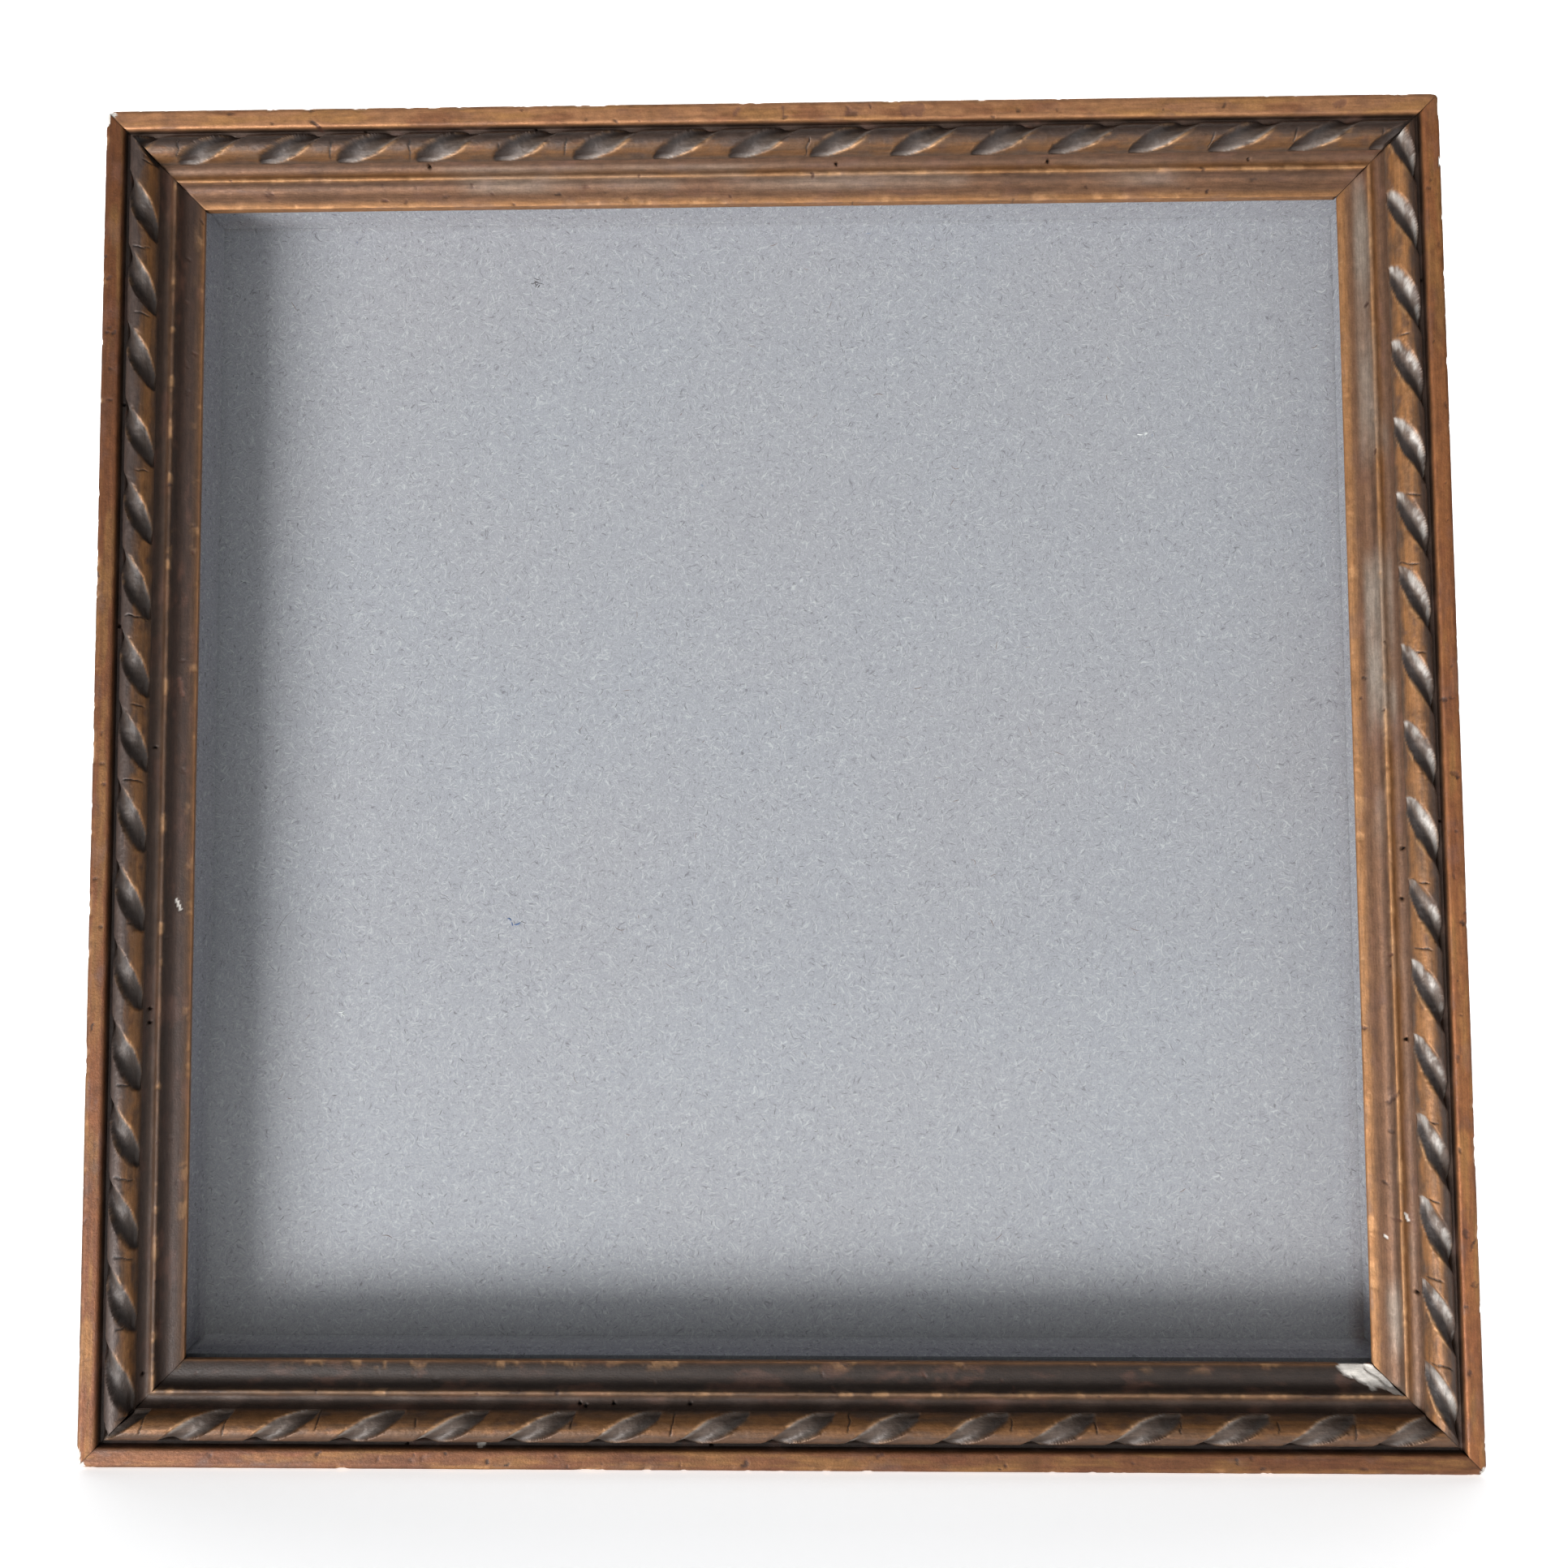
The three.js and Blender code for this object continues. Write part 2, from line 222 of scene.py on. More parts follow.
class Graph:
    """Short calls for building a shader graph."""

    def __init__(self, tree):
        self.nodes, self.links = tree.nodes, tree.links

    def put(self, socket, value):
        if isinstance(value, bpy.types.NodeSocket):
            self.links.new(value, socket)
        elif isinstance(value, (tuple, list, np.ndarray)):
            value = [float(v) for v in value]
            if len(value) == 3 and len(socket.default_value) == 4:
                value = value + [1.0]
            socket.default_value = value
        else:
            socket.default_value = value

    def attribute(self, name, output):
        node = self.nodes.new("ShaderNodeAttribute")
        node.attribute_name = name
        return node.outputs[output]

    def place(self, source, scale=(1, 1, 1), turn=(0, 0, 0)):
        node = self.nodes.new("ShaderNodeMapping")
        self.put(node.inputs["Vector"], source)
        node.inputs["Scale"].default_value = scale
        node.inputs["Rotation"].default_value = turn
        return node.outputs[0]

    def coords(self):
        return self.nodes.new("ShaderNodeTexCoord").outputs["Object"]

    def noise(self, vector, scale, detail=3, rough=0.55, distortion=0.0):
        node = self.nodes.new("ShaderNodeTexNoise")
        self.put(node.inputs["Vector"], vector)
        self.put(node.inputs["Scale"], scale)
        self.put(node.inputs["Detail"], detail)
        self.put(node.inputs["Roughness"], rough)
        self.put(node.inputs["Distortion"], distortion)
        return node.outputs["Fac"]

    def range(self, value, a, b, c, d, smooth_step=False):
        node = self.nodes.new("ShaderNodeMapRange")
        node.interpolation_type = "SMOOTHSTEP" if smooth_step else "LINEAR"
        self.put(node.inputs["Value"], value)
        for key, v in zip(("From Min", "From Max", "To Min", "To Max"), (a, b, c, d)):
            self.put(node.inputs[key], v)
        return node.outputs["Result"]

    def math(self, op, a, b=0.0):
        node = self.nodes.new("ShaderNodeMath")
        node.operation = op
        self.put(node.inputs[0], a)
        self.put(node.inputs[1], b)
        return node.outputs[0]

    def mix(self, fac, a, b, blend="MIX"):
        node = self.nodes.new("ShaderNodeMix")
        node.data_type = "RGBA"
        node.blend_type = blend
        self.put(node.inputs[0], fac)
        self.put(node.inputs[6], a)
        self.put(node.inputs[7], b)
        return node.outputs[2]

    def bump(self, height, strength, distance):
        node = self.nodes.new("ShaderNodeBump")
        self.put(node.inputs["Height"], height)
        self.put(node.inputs["Strength"], strength)
        self.put(node.inputs["Distance"], distance)
        return node.outputs[0]


# ---------------------------------------------------------------- materials
def gilt_material(name, rough_lo, rough_hi, sheen):
    """Bronze gilding toned by hand: the mesh carries tone (with its painted shade and highlights), metal and
    chip; this adds the fine grain.
    """
    material, g, bsdf = new_material(name)
    along = g.attribute("along", "Vector")
    tone = g.attribute("tone", "Color")
    metal = g.attribute("metal", "Fac")
    chip = g.attribute("chip", "Fac")
    streak = g.noise(g.place(along, (0.12, 1.6, 1.0)), 1.0, 4, 0.6)
    mottle = g.noise(g.place(along, (0.35, 0.5, 1.0)), 1.0, 4, 0.65)
    speck = g.noise(g.place(along, (2.2, 3.4, 1.0)), 1.0, 3, 0.7)
    value = g.math("MULTIPLY", g.range(streak, 0.3, 0.7, 0.78, 1.18), g.range(mottle, 0.3, 0.7, 0.78, 1.18))
    value = g.math("MULTIPLY", value, g.range(speck, 0.25, 0.75, 0.84, 1.14))
    shade = g.nodes.new("ShaderNodeCombineColor")
    for i in range(3):
        g.put(shade.inputs[i], value)
    colour = g.mix(1.0, tone, shade.outputs[0], "MULTIPLY")
    rub = g.range(g.noise(g.place(along, (0.5, 1.1, 1.0)), 1.0, 5, 0.7), 0.56, 0.72, 0.0, 0.35)
    colour = g.mix(rub, colour, g.mix(1.0, colour, (0.62, 0.42, 0.34), "MULTIPLY"))
    g.put(bsdf.inputs["Base Color"], colour)
    g.put(bsdf.inputs["Metallic"], g.math("MULTIPLY", metal, sheen))
    rough = g.range(g.noise(g.place(along, (0.8, 1.8, 1.0)), 1.0, 3, 0.6), 0.3, 0.7, rough_lo, rough_hi)
    g.put(bsdf.inputs["Roughness"], g.math("MAXIMUM", rough, g.math("MULTIPLY", chip, 0.85)))
    bsdf.inputs["Specular IOR Level"].default_value = 0.45
    grain = g.noise(g.place(along, (0.7, 4.0, 1.0)), 1.0, 3, 0.6)
    peel = g.noise(g.place(along, (1.6, 1.9, 1.0)), 1.0, 3, 0.55)
    height = g.math("ADD", g.math("MULTIPLY", grain, 0.5), peel)
    g.put(bsdf.inputs["Normal"], g.bump(height, 0.55, 0.00012))
    return material


def board_material():
    """Grey recycled board: short pale and dark fibres pressed flat over a faint mottle."""
    material, g, bsdf = new_material("grey_board")
    place = g.coords()
    bend = g.nodes.new("ShaderNodeVectorMath")
    bend.operation = "MULTIPLY_ADD"
    warp = g.nodes.new("ShaderNodeTexNoise")
    g.put(warp.inputs["Vector"], place)
    g.put(warp.inputs["Scale"], 160.0)
    g.put(warp.inputs["Detail"], 2.0)
    g.put(bend.inputs[0], warp.outputs["Color"])
    g.put(bend.inputs[1], (0.005, 0.0, 0.005))
    g.put(bend.inputs[2], place)
    bent = bend.outputs[0]
    pale, dark, relief = 0.0, 0.0, 0.0
    for angle in (0.2, 0.95, 1.7, 2.5):
        strand = g.noise(g.place(g.place(bent, turn=(0, angle, 0)), (430, 430, 2500)), 1.0, 2, 0.5)
        pale = g.math("MAXIMUM", pale, g.range(strand, 0.61, 0.74, 0.0, 1.0))
        dark = g.math("MAXIMUM", dark, g.range(strand, 0.36, 0.25, 0.0, 1.0))
        relief = g.math("ADD", relief, strand)
    mottle = g.noise(place, 140.0, 4, 0.6)
    broad = g.noise(place, 14.0, 3, 0.5)
    grit = g.noise(place, 2600.0, 2, 0.7)
    base = g.mix(mottle, srgb(155, 155, 163), srgb(166, 165, 170))
    base = g.mix(g.range(broad, 0.3, 0.7, 0.0, 0.5), base, srgb(162, 156, 159))
    base = g.mix(g.range(grit, 0.3, 0.7, 0.0, 0.8), base, srgb(136, 135, 142))
    base = g.mix(g.math("MULTIPLY", pale, 0.6), base, srgb(197, 196, 197))
    base = g.mix(g.math("MULTIPLY", dark, 0.75), base, srgb(97, 93, 100))
    g.put(bsdf.inputs["Base Color"], base)
    bsdf.inputs["Roughness"].default_value = 0.9
    bsdf.inputs["Specular IOR Level"].default_value = 0.25
    height = g.math("ADD", relief, g.math("MULTIPLY", grit, 0.7))
    g.put(bsdf.inputs["Normal"], g.bump(height, 0.5, 0.00008))
    return material


def glass_material():
    material = bpy.data.materials.new("glazing")
    material.use_nodes = True
    g = Graph(material.node_tree)
    g.nodes.clear()
    out = g.nodes.new("ShaderNodeOutputMaterial")
    clear = g.nodes.new("ShaderNodeBsdfTransparent")
    clear.inputs[0].default_value = (0.965, 0.98, 0.975, 1)
    gloss = g.nodes.new("ShaderNodeBsdfGlossy")
    gloss.inputs["Roughness"].default_value = 0.04
    gloss.inputs["Color"].default_value = (1, 1, 1, 1)
    facing = g.nodes.new("ShaderNodeLayerWeight").outputs["Facing"]
    share = g.math("ADD", g.math("MULTIPLY", g.math("POWER", facing, 5.0), 0.9), 0.018)
    mix = g.nodes.new("ShaderNodeMixShader")
    g.links.new(share, mix.inputs[0])
    g.links.new(clear.outputs[0], mix.inputs[1])
    g.links.new(gloss.outputs[0], mix.inputs[2])
    g.links.new(mix.outputs[0], out.inputs[0])
    return material


def wood_material():
    """Old softwood gone brown: growth rings along the batten, dirt and saw marks."""
    material, g, bsdf = new_material("bare_wood")
    along = g.attribute("along", "Vector")
    rings = g.noise(g.place(along, (0.012, 0.9, 1.0)), 1.0, 5, 0.62, 0.4)
    fine = g.noise(g.place(along, (0.05, 6.0, 1.0)), 1.0, 4, 0.6)
    stain = g.noise(g.place(along, (0.03, 0.08, 1.0)), 1.0, 4, 0.6)
    colour = g.mix(g.range(rings, 0.32, 0.68, 0.0, 1.0), srgb(150, 108, 66), srgb(187, 146, 98))
    colour = g.mix(g.range(fine, 0.35, 0.75, 0.0, 0.5), colour, srgb(120, 84, 52))
    colour = g.mix(g.range(stain, 0.45, 0.75, 0.0, 0.65), colour, srgb(92, 66, 46))
    g.put(bsdf.inputs["Base Color"], colour)
    g.put(bsdf.inputs["Roughness"], g.range(fine, 0.2, 0.8, 0.66, 0.86))
    bsdf.inputs["Specular IOR Level"].default_value = 0.3
    saw = g.noise(g.place(along, (1.1, 0.02, 1.0)), 1.0, 2, 0.5)
    height = g.math("ADD", g.math("MULTIPLY", fine, 0.8), g.math("MULTIPLY", saw, 0.35))
    g.put(bsdf.inputs["Normal"], g.bump(height, 0.6, 0.00025))
    return material


def hardboard_material():
    """Hardboard, rough side out: a woven screen print over brown fibre."""
    material, g, bsdf = new_material("hardboard")
    place = g.coords()
    fibre = g.noise(g.place(place, (900, 900, 420)), 1.0, 4, 0.6, 0.6)
    broad = g.noise(place, 18.0, 4, 0.6)
    waves = []
    for axis in ("X", "Z"):
        wave = g.nodes.new("ShaderNodeTexWave")
        wave.bands_direction = axis
        g.put(wave.inputs["Vector"], place)
        g.put(wave.inputs["Scale"], 190.0)
        g.put(wave.inputs["Distortion"], 0.6)
        waves.append(wave.outputs["Fac"])
    screen = g.math("MULTIPLY", waves[0], waves[1])
    colour = g.mix(fibre, srgb(92, 62, 42), srgb(142, 102, 70))
    colour = g.mix(g.range(broad, 0.4, 0.75, 0.0, 0.55), colour, srgb(78, 56, 42))
    colour = g.mix(g.math("MULTIPLY", screen, 0.3), colour, srgb(158, 122, 88))
    g.put(bsdf.inputs["Base Color"], colour)
    bsdf.inputs["Roughness"].default_value = 0.82
    height = g.math("ADD", screen, g.math("MULTIPLY", fibre, 0.6))
    g.put(bsdf.inputs["Normal"], g.bump(height, 0.7, 0.0002))
    return material


def metal_material(name, clean, tarnish, spot, rough):
    """A worn metal: clean and tarnished in patches, and speckled."""
    material, g, bsdf = new_material(name)
    place = g.coords()
    cloud = g.noise(place, 420.0, 5, 0.65)
    speck = g.noise(place, 1900.0, 3, 0.6)
    colour = g.mix(g.range(cloud, 0.4, 0.66, 0.0, 0.85), clean, tarnish)
    colour = g.mix(g.range(speck, 0.6, 0.72, 0.0, 0.8), colour, spot)
    g.put(bsdf.inputs["Base Color"], colour)
    g.put(bsdf.inputs["Metallic"], g.range(speck, 0.6, 0.72, 1.0, 0.3))
    g.put(bsdf.inputs["Roughness"], g.range(cloud, 0.35, 0.7, rough, rough + 0.25))
    g.put(bsdf.inputs["Normal"], g.bump(g.math("ADD", cloud, speck), 0.35, 0.0001))
    return material


def plain_material(name, colour, rough):
    material, g, bsdf = new_material(name)
    g.put(bsdf.inputs["Base Color"], colour)
    bsdf.inputs["Roughness"].default_value = rough
    return material


GILT = gilt_material("gilt_moulding", 0.42, 0.64, 0.5)
GILT_ROPE = gilt_material("gilt_rope", 0.4, 0.6, 0.5)
BOARD = board_material()
GLASS = glass_material()
WOOD = wood_material()
HARDBOARD = hardboard_material()
BRASS = metal_material("brass", srgb(188, 150, 84), srgb(120, 88, 48), srgb(70, 56, 38), 0.3)
STEEL = metal_material("steel", srgb(150, 148, 142), srgb(104, 98, 92), srgb(98, 58, 36), 0.36)

# Tones of the finish; those set side by side carry painted light and shade
# Lip colour by side, lighter on the top and right, darker on the bottom and left: painted light and shade
LIP_SHADED_BY_SIDE = {
    "top": srgb(157, 112, 77),
    "right": srgb(134, 85, 50),
    "bottom": srgb(104, 66, 41),
    "left": srgb(100, 60, 33),
}
GOLD = srgb(132, 91, 55)
# Pale gold of rubbed high edges, also used for painted highlights
HIGHLIGHT_AND_RUB = srgb(186, 142, 98)
LIP_GOLD = srgb(160, 116, 66)
LIP_RED = srgb(112, 66, 44)
# Lip streaks weakened on the bottom and left: painted shade
LIP_STREAK_SHADE = {"top": 1.0, "right": 0.85, "bottom": 0.68, "left": 0.6}
COVE = srgb(112, 82, 62)
# Dark brown of dirt, also used for painted shade in hollows and creases
DIRT_AND_SHADE = srgb(46, 36, 31)
# Painted shade over the coves by side, strongest on the bottom and left: its share, colour and where it ends
COVE_SHADE_SHARE = {"top": 0.05, "right": 0.0, "bottom": 0.86, "left": 0.78}
COVE_SHADE_COLOUR = {"top": DIRT_AND_SHADE, "right": DIRT_AND_SHADE, "bottom": srgb(26, 21, 18), "left": srgb(42, 25, 18)}
COVE_SHADE_END = {"top": 23.0, "right": 23.0, "bottom": 24.3, "left": 22.6}
# Grey sheen painted on the coves, strongest on the right: a painted reflection
COVE_SHEEN_SHARE = {"top": 0.35, "right": 0.85, "bottom": 0.0, "left": 0.0}
BOLE = srgb(86, 54, 40)
GESSO = srgb(205, 200, 192)
SCOOP_GREY = srgb(96, 83, 74)
# Painted shade on the scoop walls
SCOOP_WALL_SHADE = srgb(52, 44, 41)


def painted(tone, mask, colour, share=1.0):
    """The tone with a share of a colour laid over it where the mask is."""
    w = np.clip(mask * share, 0, 1)[..., None]
    return tone * (1 - w) + np.asarray(colour) * w


# ---------------------------------------------------------------- moulding
RAIL_SECTION = section_path(
    (RAIL_BACK, 0),
    [
        ((2.9, 0), 8),
        ((1.8, 1.4), 6, (1.85, 0.1)),
        ((1.9, 3.8), 7),
        ((2.8, 4.7), 4, (1.95, 4.6)),
        ((4.2, 4.95), 4),
        ((4.5, 5.9), 3),
        ((SEAT, 6.4), 2),
        ((SEAT, 12.6), 3),
        ((4.7, 13.3), 2),
        ((5.9, 16.7), 10, (7.4, 14.8)),
        ((6.0, 17.5), 4, (5.75, 17.2)),
        ((6.9, 17.9), 4),
        ((8.7, 20.9), 9, (8.7, 18.6)),
        ((9.3, 23.7), 8, (8.75, 22.6)),
        ((10.1, SIGHT), 4, (9.45, 24.25)),
        ((RAIL_BACK, SIGHT - 2), 9),
        ((RAIL_BACK, 0), 6),
    ],
)

# How far the ridge and the sight edge are rubbed bright, with a painted highlight set by side on top
BEAD_RUB_AND_HIGHLIGHT = {"top": 0.2, "right": 0.2, "bottom": -0.05, "left": -0.1}
RIDGE_RUB_AND_HIGHLIGHT = {"top": 0.3, "right": 0.25, "bottom": 0.2, "left": 0.0}

# Chips through the gilding, as (side, x, u, x, u, half width): a capsule between two points
GESSO_CHIPS = [
    (2, -145.0, 23.4, -152.6, 20.8, 2.7),
    (2, -150.0, 22.6, -155.0, 19.6, 1.3),
    (2, -153.8, 18.6, -156.2, 18.2, 0.8),
    (0, -174.6, 0.6, -173.4, 1.2, 1.1),
    (3, 174.4, 0.5, 171.6, 0.4, 1.0),
    (1, 174.6, 0.4, 173.6, 0.8, 0.8),
    (2, -174.6, 0.5, -174.0, 0.7, 0.9),
    (1, -157.2, 0.3, -156.0, 0.4, 0.6),
    (3, -174.4, 0.4, -171.0, 0.3, 0.7),
    (2, 174.6, 0.4, 173.4, 0.8, 0.8),
    (2, 74.0, 5.2, 72.6, 5.3, 0.45),
    (3, -36.0, 21.0, -33.6, 20.0, 0.35),
    (1, 112.6, 16.2, 114.4, 15.4, 0.35),
    (1, 118.6, 20.4, 119.4, 20.1, 0.3),
    (0, 166.9, 6.2, 167.6, 6.0, 0.4),
]
# Rubbed patches down to the bole
BOLE_PATCHES = [
    (0, 36.4, 2.7, 40.0, 2.6, 1.5),
    (0, 148.0, 2.6, 150.4, 2.2, 0.7),
    (0, 21.0, 3.0, 21.6, 2.2, 0.6),
    (0, -8.6, 2.8, -7.4, 2.0, 0.6),
    (0, 4.2, 1.4, 4.5, 3.4, 0.35),
    (3, 20.0, 20.6, 24.0, 19.8, 0.6),
]


def capsule(x, u, x0, u0, x1, u1, half, seed):
    """How far inside a ragged capsule each point lies, in half widths; above 0 is inside."""
    dx, du = x1 - x0, u1 - u0
    w = np.clip(((x - x0) * dx + (u - u0) * du) / (dx * dx + du * du + 1e-9), 0, 1)
    distance = np.hypot(x - x0 - w * dx, u - u0 - w * du)
    ragged = 1 + 0.55 * fbm(x / half * 0.9, u / half * 0.9, 0, seed, 4, 0.6)
    return ragged - distance / half


def make_rail(k, name):
    rng = np.random.default_rng(40 + k)
    count = RAIL_STATIONS
    section = RAIL_SECTION
    normals = ring_normals(section)
    shift = WIDEN[name] * smooth(1.5, 3.6, section[:, 1]) * smooth(RAIL_BACK, 13.0, section[:, 0])
    x = stations(np.stack([section[:, 0], section[:, 1] + shift], -1), count, MITRE)
    t = np.broadcast_to(section[:, 0], x.shape).copy()
    u = np.broadcast_to(section[:, 1], x.shape).copy()
    nt = np.broadcast_to(normals[:, 0], x.shape)
    nu = np.broadcast_to(normals[:, 1], x.shape)
    arc = np.concatenate([[0], np.cumsum(np.linalg.norm(np.diff(section, axis=0), axis=1))])
    arc = np.broadcast_to(arc, x.shape)
    front = (t < 12.5) & (u < SIGHT + 0.1)

    # The gesso is not quite straight or even
    push = -0.05 + 0.05 * fbm(x / 22, arc / 9, 0, 60 + k, 3) + 0.035 * fbm(x / 3.1, arc / 1.6, 0, 70 + k, 3)
    lip_edge = np.exp(-(((t - 2.2) ** 2 + (u - 0.25) ** 2) / 0.8))
    ridge_edge = np.exp(-(((t - 5.95) ** 2 + (u - 17.2) ** 2) / 0.6))
    bead_edge = np.exp(-(((t - 9.2) ** 2 + (u - 23.5) ** 2) / 1.8))
    knocks = smooth(0.16, 0.5, fbm(x / 4.5, arc / 5.5, 0, 80 + k, 4, 0.6))
    push = push - knocks * (0.28 * lip_edge + 0.16 * ridge_edge + 0.12 * bead_edge)

    # Tone by place across the moulding
    tone = np.broadcast_to(GOLD, x.shape + (3,)).copy()

    def paint(mask, colour, share=1.0):
        nonlocal tone
        tone = painted(tone, mask, colour, share)

    broad = fbm(x / 34, arc / 12, 0, 90 + k, 3)
    patch = fbm(x / 7.5, arc / 3.5, 0, 95 + k, 4, 0.6)
    # the lip's colour by side: painted light and shade
    paint(smooth(5.2, 4.4, u), LIP_SHADED_BY_SIDE[name])
    on_lip = smooth(5.0, 4.0, u)
    # gold and red streaks on the lip, weakened by side as painted shade
    paint(on_lip * smooth(0.0, 0.45, fbm(x / 16, arc / 1.7, 0, 97 + k, 4)), LIP_GOLD * LIP_STREAK_SHADE[name], 0.55)
    paint(on_lip * smooth(0.05, 0.45, fbm(x / 11, arc / 2.6, 0, 98 + k, 4)), LIP_RED * LIP_STREAK_SHADE[name], 0.5)
    paint(smooth(4.5, 4.9, u) * smooth(16.2, 15.0, u), COVE, 0.8)
    # painted shade in the quirk
    paint(smooth(4.4, 4.8, u) * smooth(6.6, 6.0, u) * smooth(2.4, 3.6, t), DIRT_AND_SHADE, 0.85)
    # painted shade at the inner foot of the rope
    paint(smooth(12.8, 13.2, u) * smooth(15.6, 13.8, u), DIRT_AND_SHADE, 0.5)
    paint(smooth(17.5, 17.8, u) * smooth(23.2, 21.6, u), COVE, 0.85)
    # painted shade under the ridge
    paint(smooth(17.5, 17.7, u) * smooth(19.6, 18.0, u), DIRT_AND_SHADE, 0.5)
    # painted shade over the coves, by side
    paint(smooth(4.6, 5.2, u) * smooth(24.4, 22.8, u), DIRT_AND_SHADE, COVE_SHADE_SHARE[name])
    end = COVE_SHADE_END[name]
    paint(smooth(17.7, 18.6, u) * smooth(end, end - 1.2, u), COVE_SHADE_COLOUR[name], 0.75 * COVE_SHADE_SHARE[name])
    # rubbed gilding with a painted highlight along the ridge and the bead
    paint(ridge_edge, HIGHLIGHT_AND_RUB, RIDGE_RUB_AND_HIGHLIGHT[name] + 0.4 * patch)
    paint(bead_edge, HIGHLIGHT_AND_RUB, BEAD_RUB_AND_HIGHLIGHT[name] + 0.3 * patch)
    paint(smooth(0.05, 0.45, patch), BOLE, 0.42)
    paint(smooth(0.1, 0.6, -broad), DIRT_AND_SHADE, 0.22)
    # a painted grey sheen across the coves
    painted_sheen = smooth(13.8, 15.0, u) * smooth(21.5, 19.5, u) * smooth(-0.1, 0.5, broad)
    paint(painted_sheen, srgb(132, 122, 111), COVE_SHEEN_SHARE[name])
    paint(knocks * (lip_edge + ridge_edge + 0.7 * bead_edge), HIGHLIGHT_AND_RUB, 0.5)
    metal = np.clip(1 - 0.7 * smooth(0.1, 0.55, patch), 0, 1)
    metal = metal * (1 - 0.75 * COVE_SHADE_SHARE[name] * smooth(4.6, 5.2, u))

    # Nicks on the lip and the flats
    chip = np.zeros_like(x)
    for _ in range(46):
        cx, cu = rng.uniform(-165, 165), rng.choice([rng.uniform(0.6, 4.2), rng.uniform(16, 24)])
        size = rng.uniform(0.18, 0.5) * (1.5 if rng.random() < 0.15 else 1)
        reach = rng.uniform(0.1, 1.4)
        x1, u1 = cx + reach * rng.choice([-0.2, 1]), cu + rng.uniform(-0.7, 0.7)
        inside = capsule(x, u, cx, cu, x1, u1, size, int(rng.integers(999)))
        inside = np.where(front, inside, -1)
        push = push - 0.14 * smooth(0, 0.5, inside)
        paint(smooth(0.0, 0.35, inside), lerp(DIRT_AND_SHADE, BOLE, rng.uniform(0, 0.8)), rng.uniform(0.55, 0.95))
    for n, (side, x0, u0, x1, u1, half) in enumerate(BOLE_PATCHES):
        if side == k:
            inside = np.where(front, capsule(x, u, x0, u0, x1, u1, half, 300 + n), -1)
            push = push - 0.08 * smooth(0, 0.3, inside)
            paint(smooth(0.0, 0.2, inside), BOLE, 0.75)
            metal = metal * (1 - smooth(0.0, 0.2, inside))
    for n, (side, x0, u0, x1, u1, half) in enumerate(GESSO_CHIPS):
        if side == k:
            inside = np.where(t < (13.5 if u0 > 3 else 4.2), capsule(x, u, x0, u0, x1, u1, half, 400 + n), -1)
            push = push - min(0.5, 0.22 * half + 0.12) * smooth(0, 0.18, inside)
            paint(smooth(0.0, 0.12, inside), GESSO * (0.86 + 0.12 * rng.random()))
            chip = np.maximum(chip, smooth(0.0, 0.12, inside))

    # Brad holes in the quirk and at the foot of the rope
    for _ in range(6):
        cx, cu = rng.uniform(-160, 160), rng.choice([5.3, 14.6, 14.2])
        inside = np.where(front, 1 - np.hypot(x - cx, u - cu) / 0.42, -1)
        push = push - 0.9 * smooth(0, 0.5, inside)
        paint(smooth(0.0, 0.3, inside), DIRT_AND_SHADE * 0.3)

    # Gilding breaks up along the open mitres
    corner = (HALF - u - shift - MITRE) - np.abs(x)
    worn = smooth(0.26, 0.0, corner + 0.35 * fbm(x / 1.4, arc / 1.4, 0, 55 + k, 3))
    push = push - 0.05 * worn
    paint(worn, DIRT_AND_SHADE, 0.3)

    u = u + shift
    metal = metal * (1 - chip)
    fade = smooth(14.9, 13.0, t) * smooth(15.0, 13.0, t)
    push = push * np.where(front, 1, 0.4 * fade)
    push = np.minimum(push, 0.03)
    t, u = t + nt * push, u + nu * push
    u = np.clip(u, 0.0, SIGHT + 0.05)
    outside = smooth(0.4, 0.0, u) * smooth(2.6, 4.0, t)
    paint(outside, COVE, 0.7)
    along = np.stack([x, arc, np.full_like(x, 100.0 * k)], -1)
    x, u = round_corner(x, u, CORNER_RADIUS)
    obj = mesh_object(
        f"moulding_{name}", to_row(k, x, t, u), swept_faces(count, len(section)), GILT,
        {"metal": metal, "chip": chip}, {"tone": tone}, {"along": along}, 50,
    )
    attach(obj, "frame")
    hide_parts(f"rail_{name}")


# ---------------------------------------------------------------- rope
# Painted light in the scoops of each side: painted shade on the left wall, a painted silver highlight on it,
# painted shade on the right wall, a painted silver highlight on it, dirt and painted shade over the outer
# part and the angle it reaches to
SCOOP_LIGHTING_BY_SIDE = {
    "top": (0.95, 0.0, 0.1, 0.25, 0.85, 132),
    "right": (0.0, 0.7, 0.97, 0.0, 0.85, 112),
    "bottom": (0.4, 0.1, 0.2, 0.35, 0.6, 108),
    "left": (0.7, 0.0, 0.5, 0.12, 0.95, 136),
}
# Lobes darkened by side, most on the top: painted shade
LOBE_SIDE_SHADE = {"top": 0.5, "right": 0.95, "bottom": 0.72, "left": 0.9}
# Where the painted shade on a scoop's right wall begins, by side
SHADE_SPLIT = {"top": -0.1, "right": -0.4, "bottom": 0.0, "left": 0.0}
# Scoops darkened by side: painted shade; it also scales the painted highlight on their right edge
SCOOP_SIDE_SHADE = {"top": 0.72, "right": 0.85, "bottom": 0.75, "left": 0.4}
# Painted silver highlight on the scoop walls
SILVER_HIGHLIGHT = srgb(176, 172, 166)


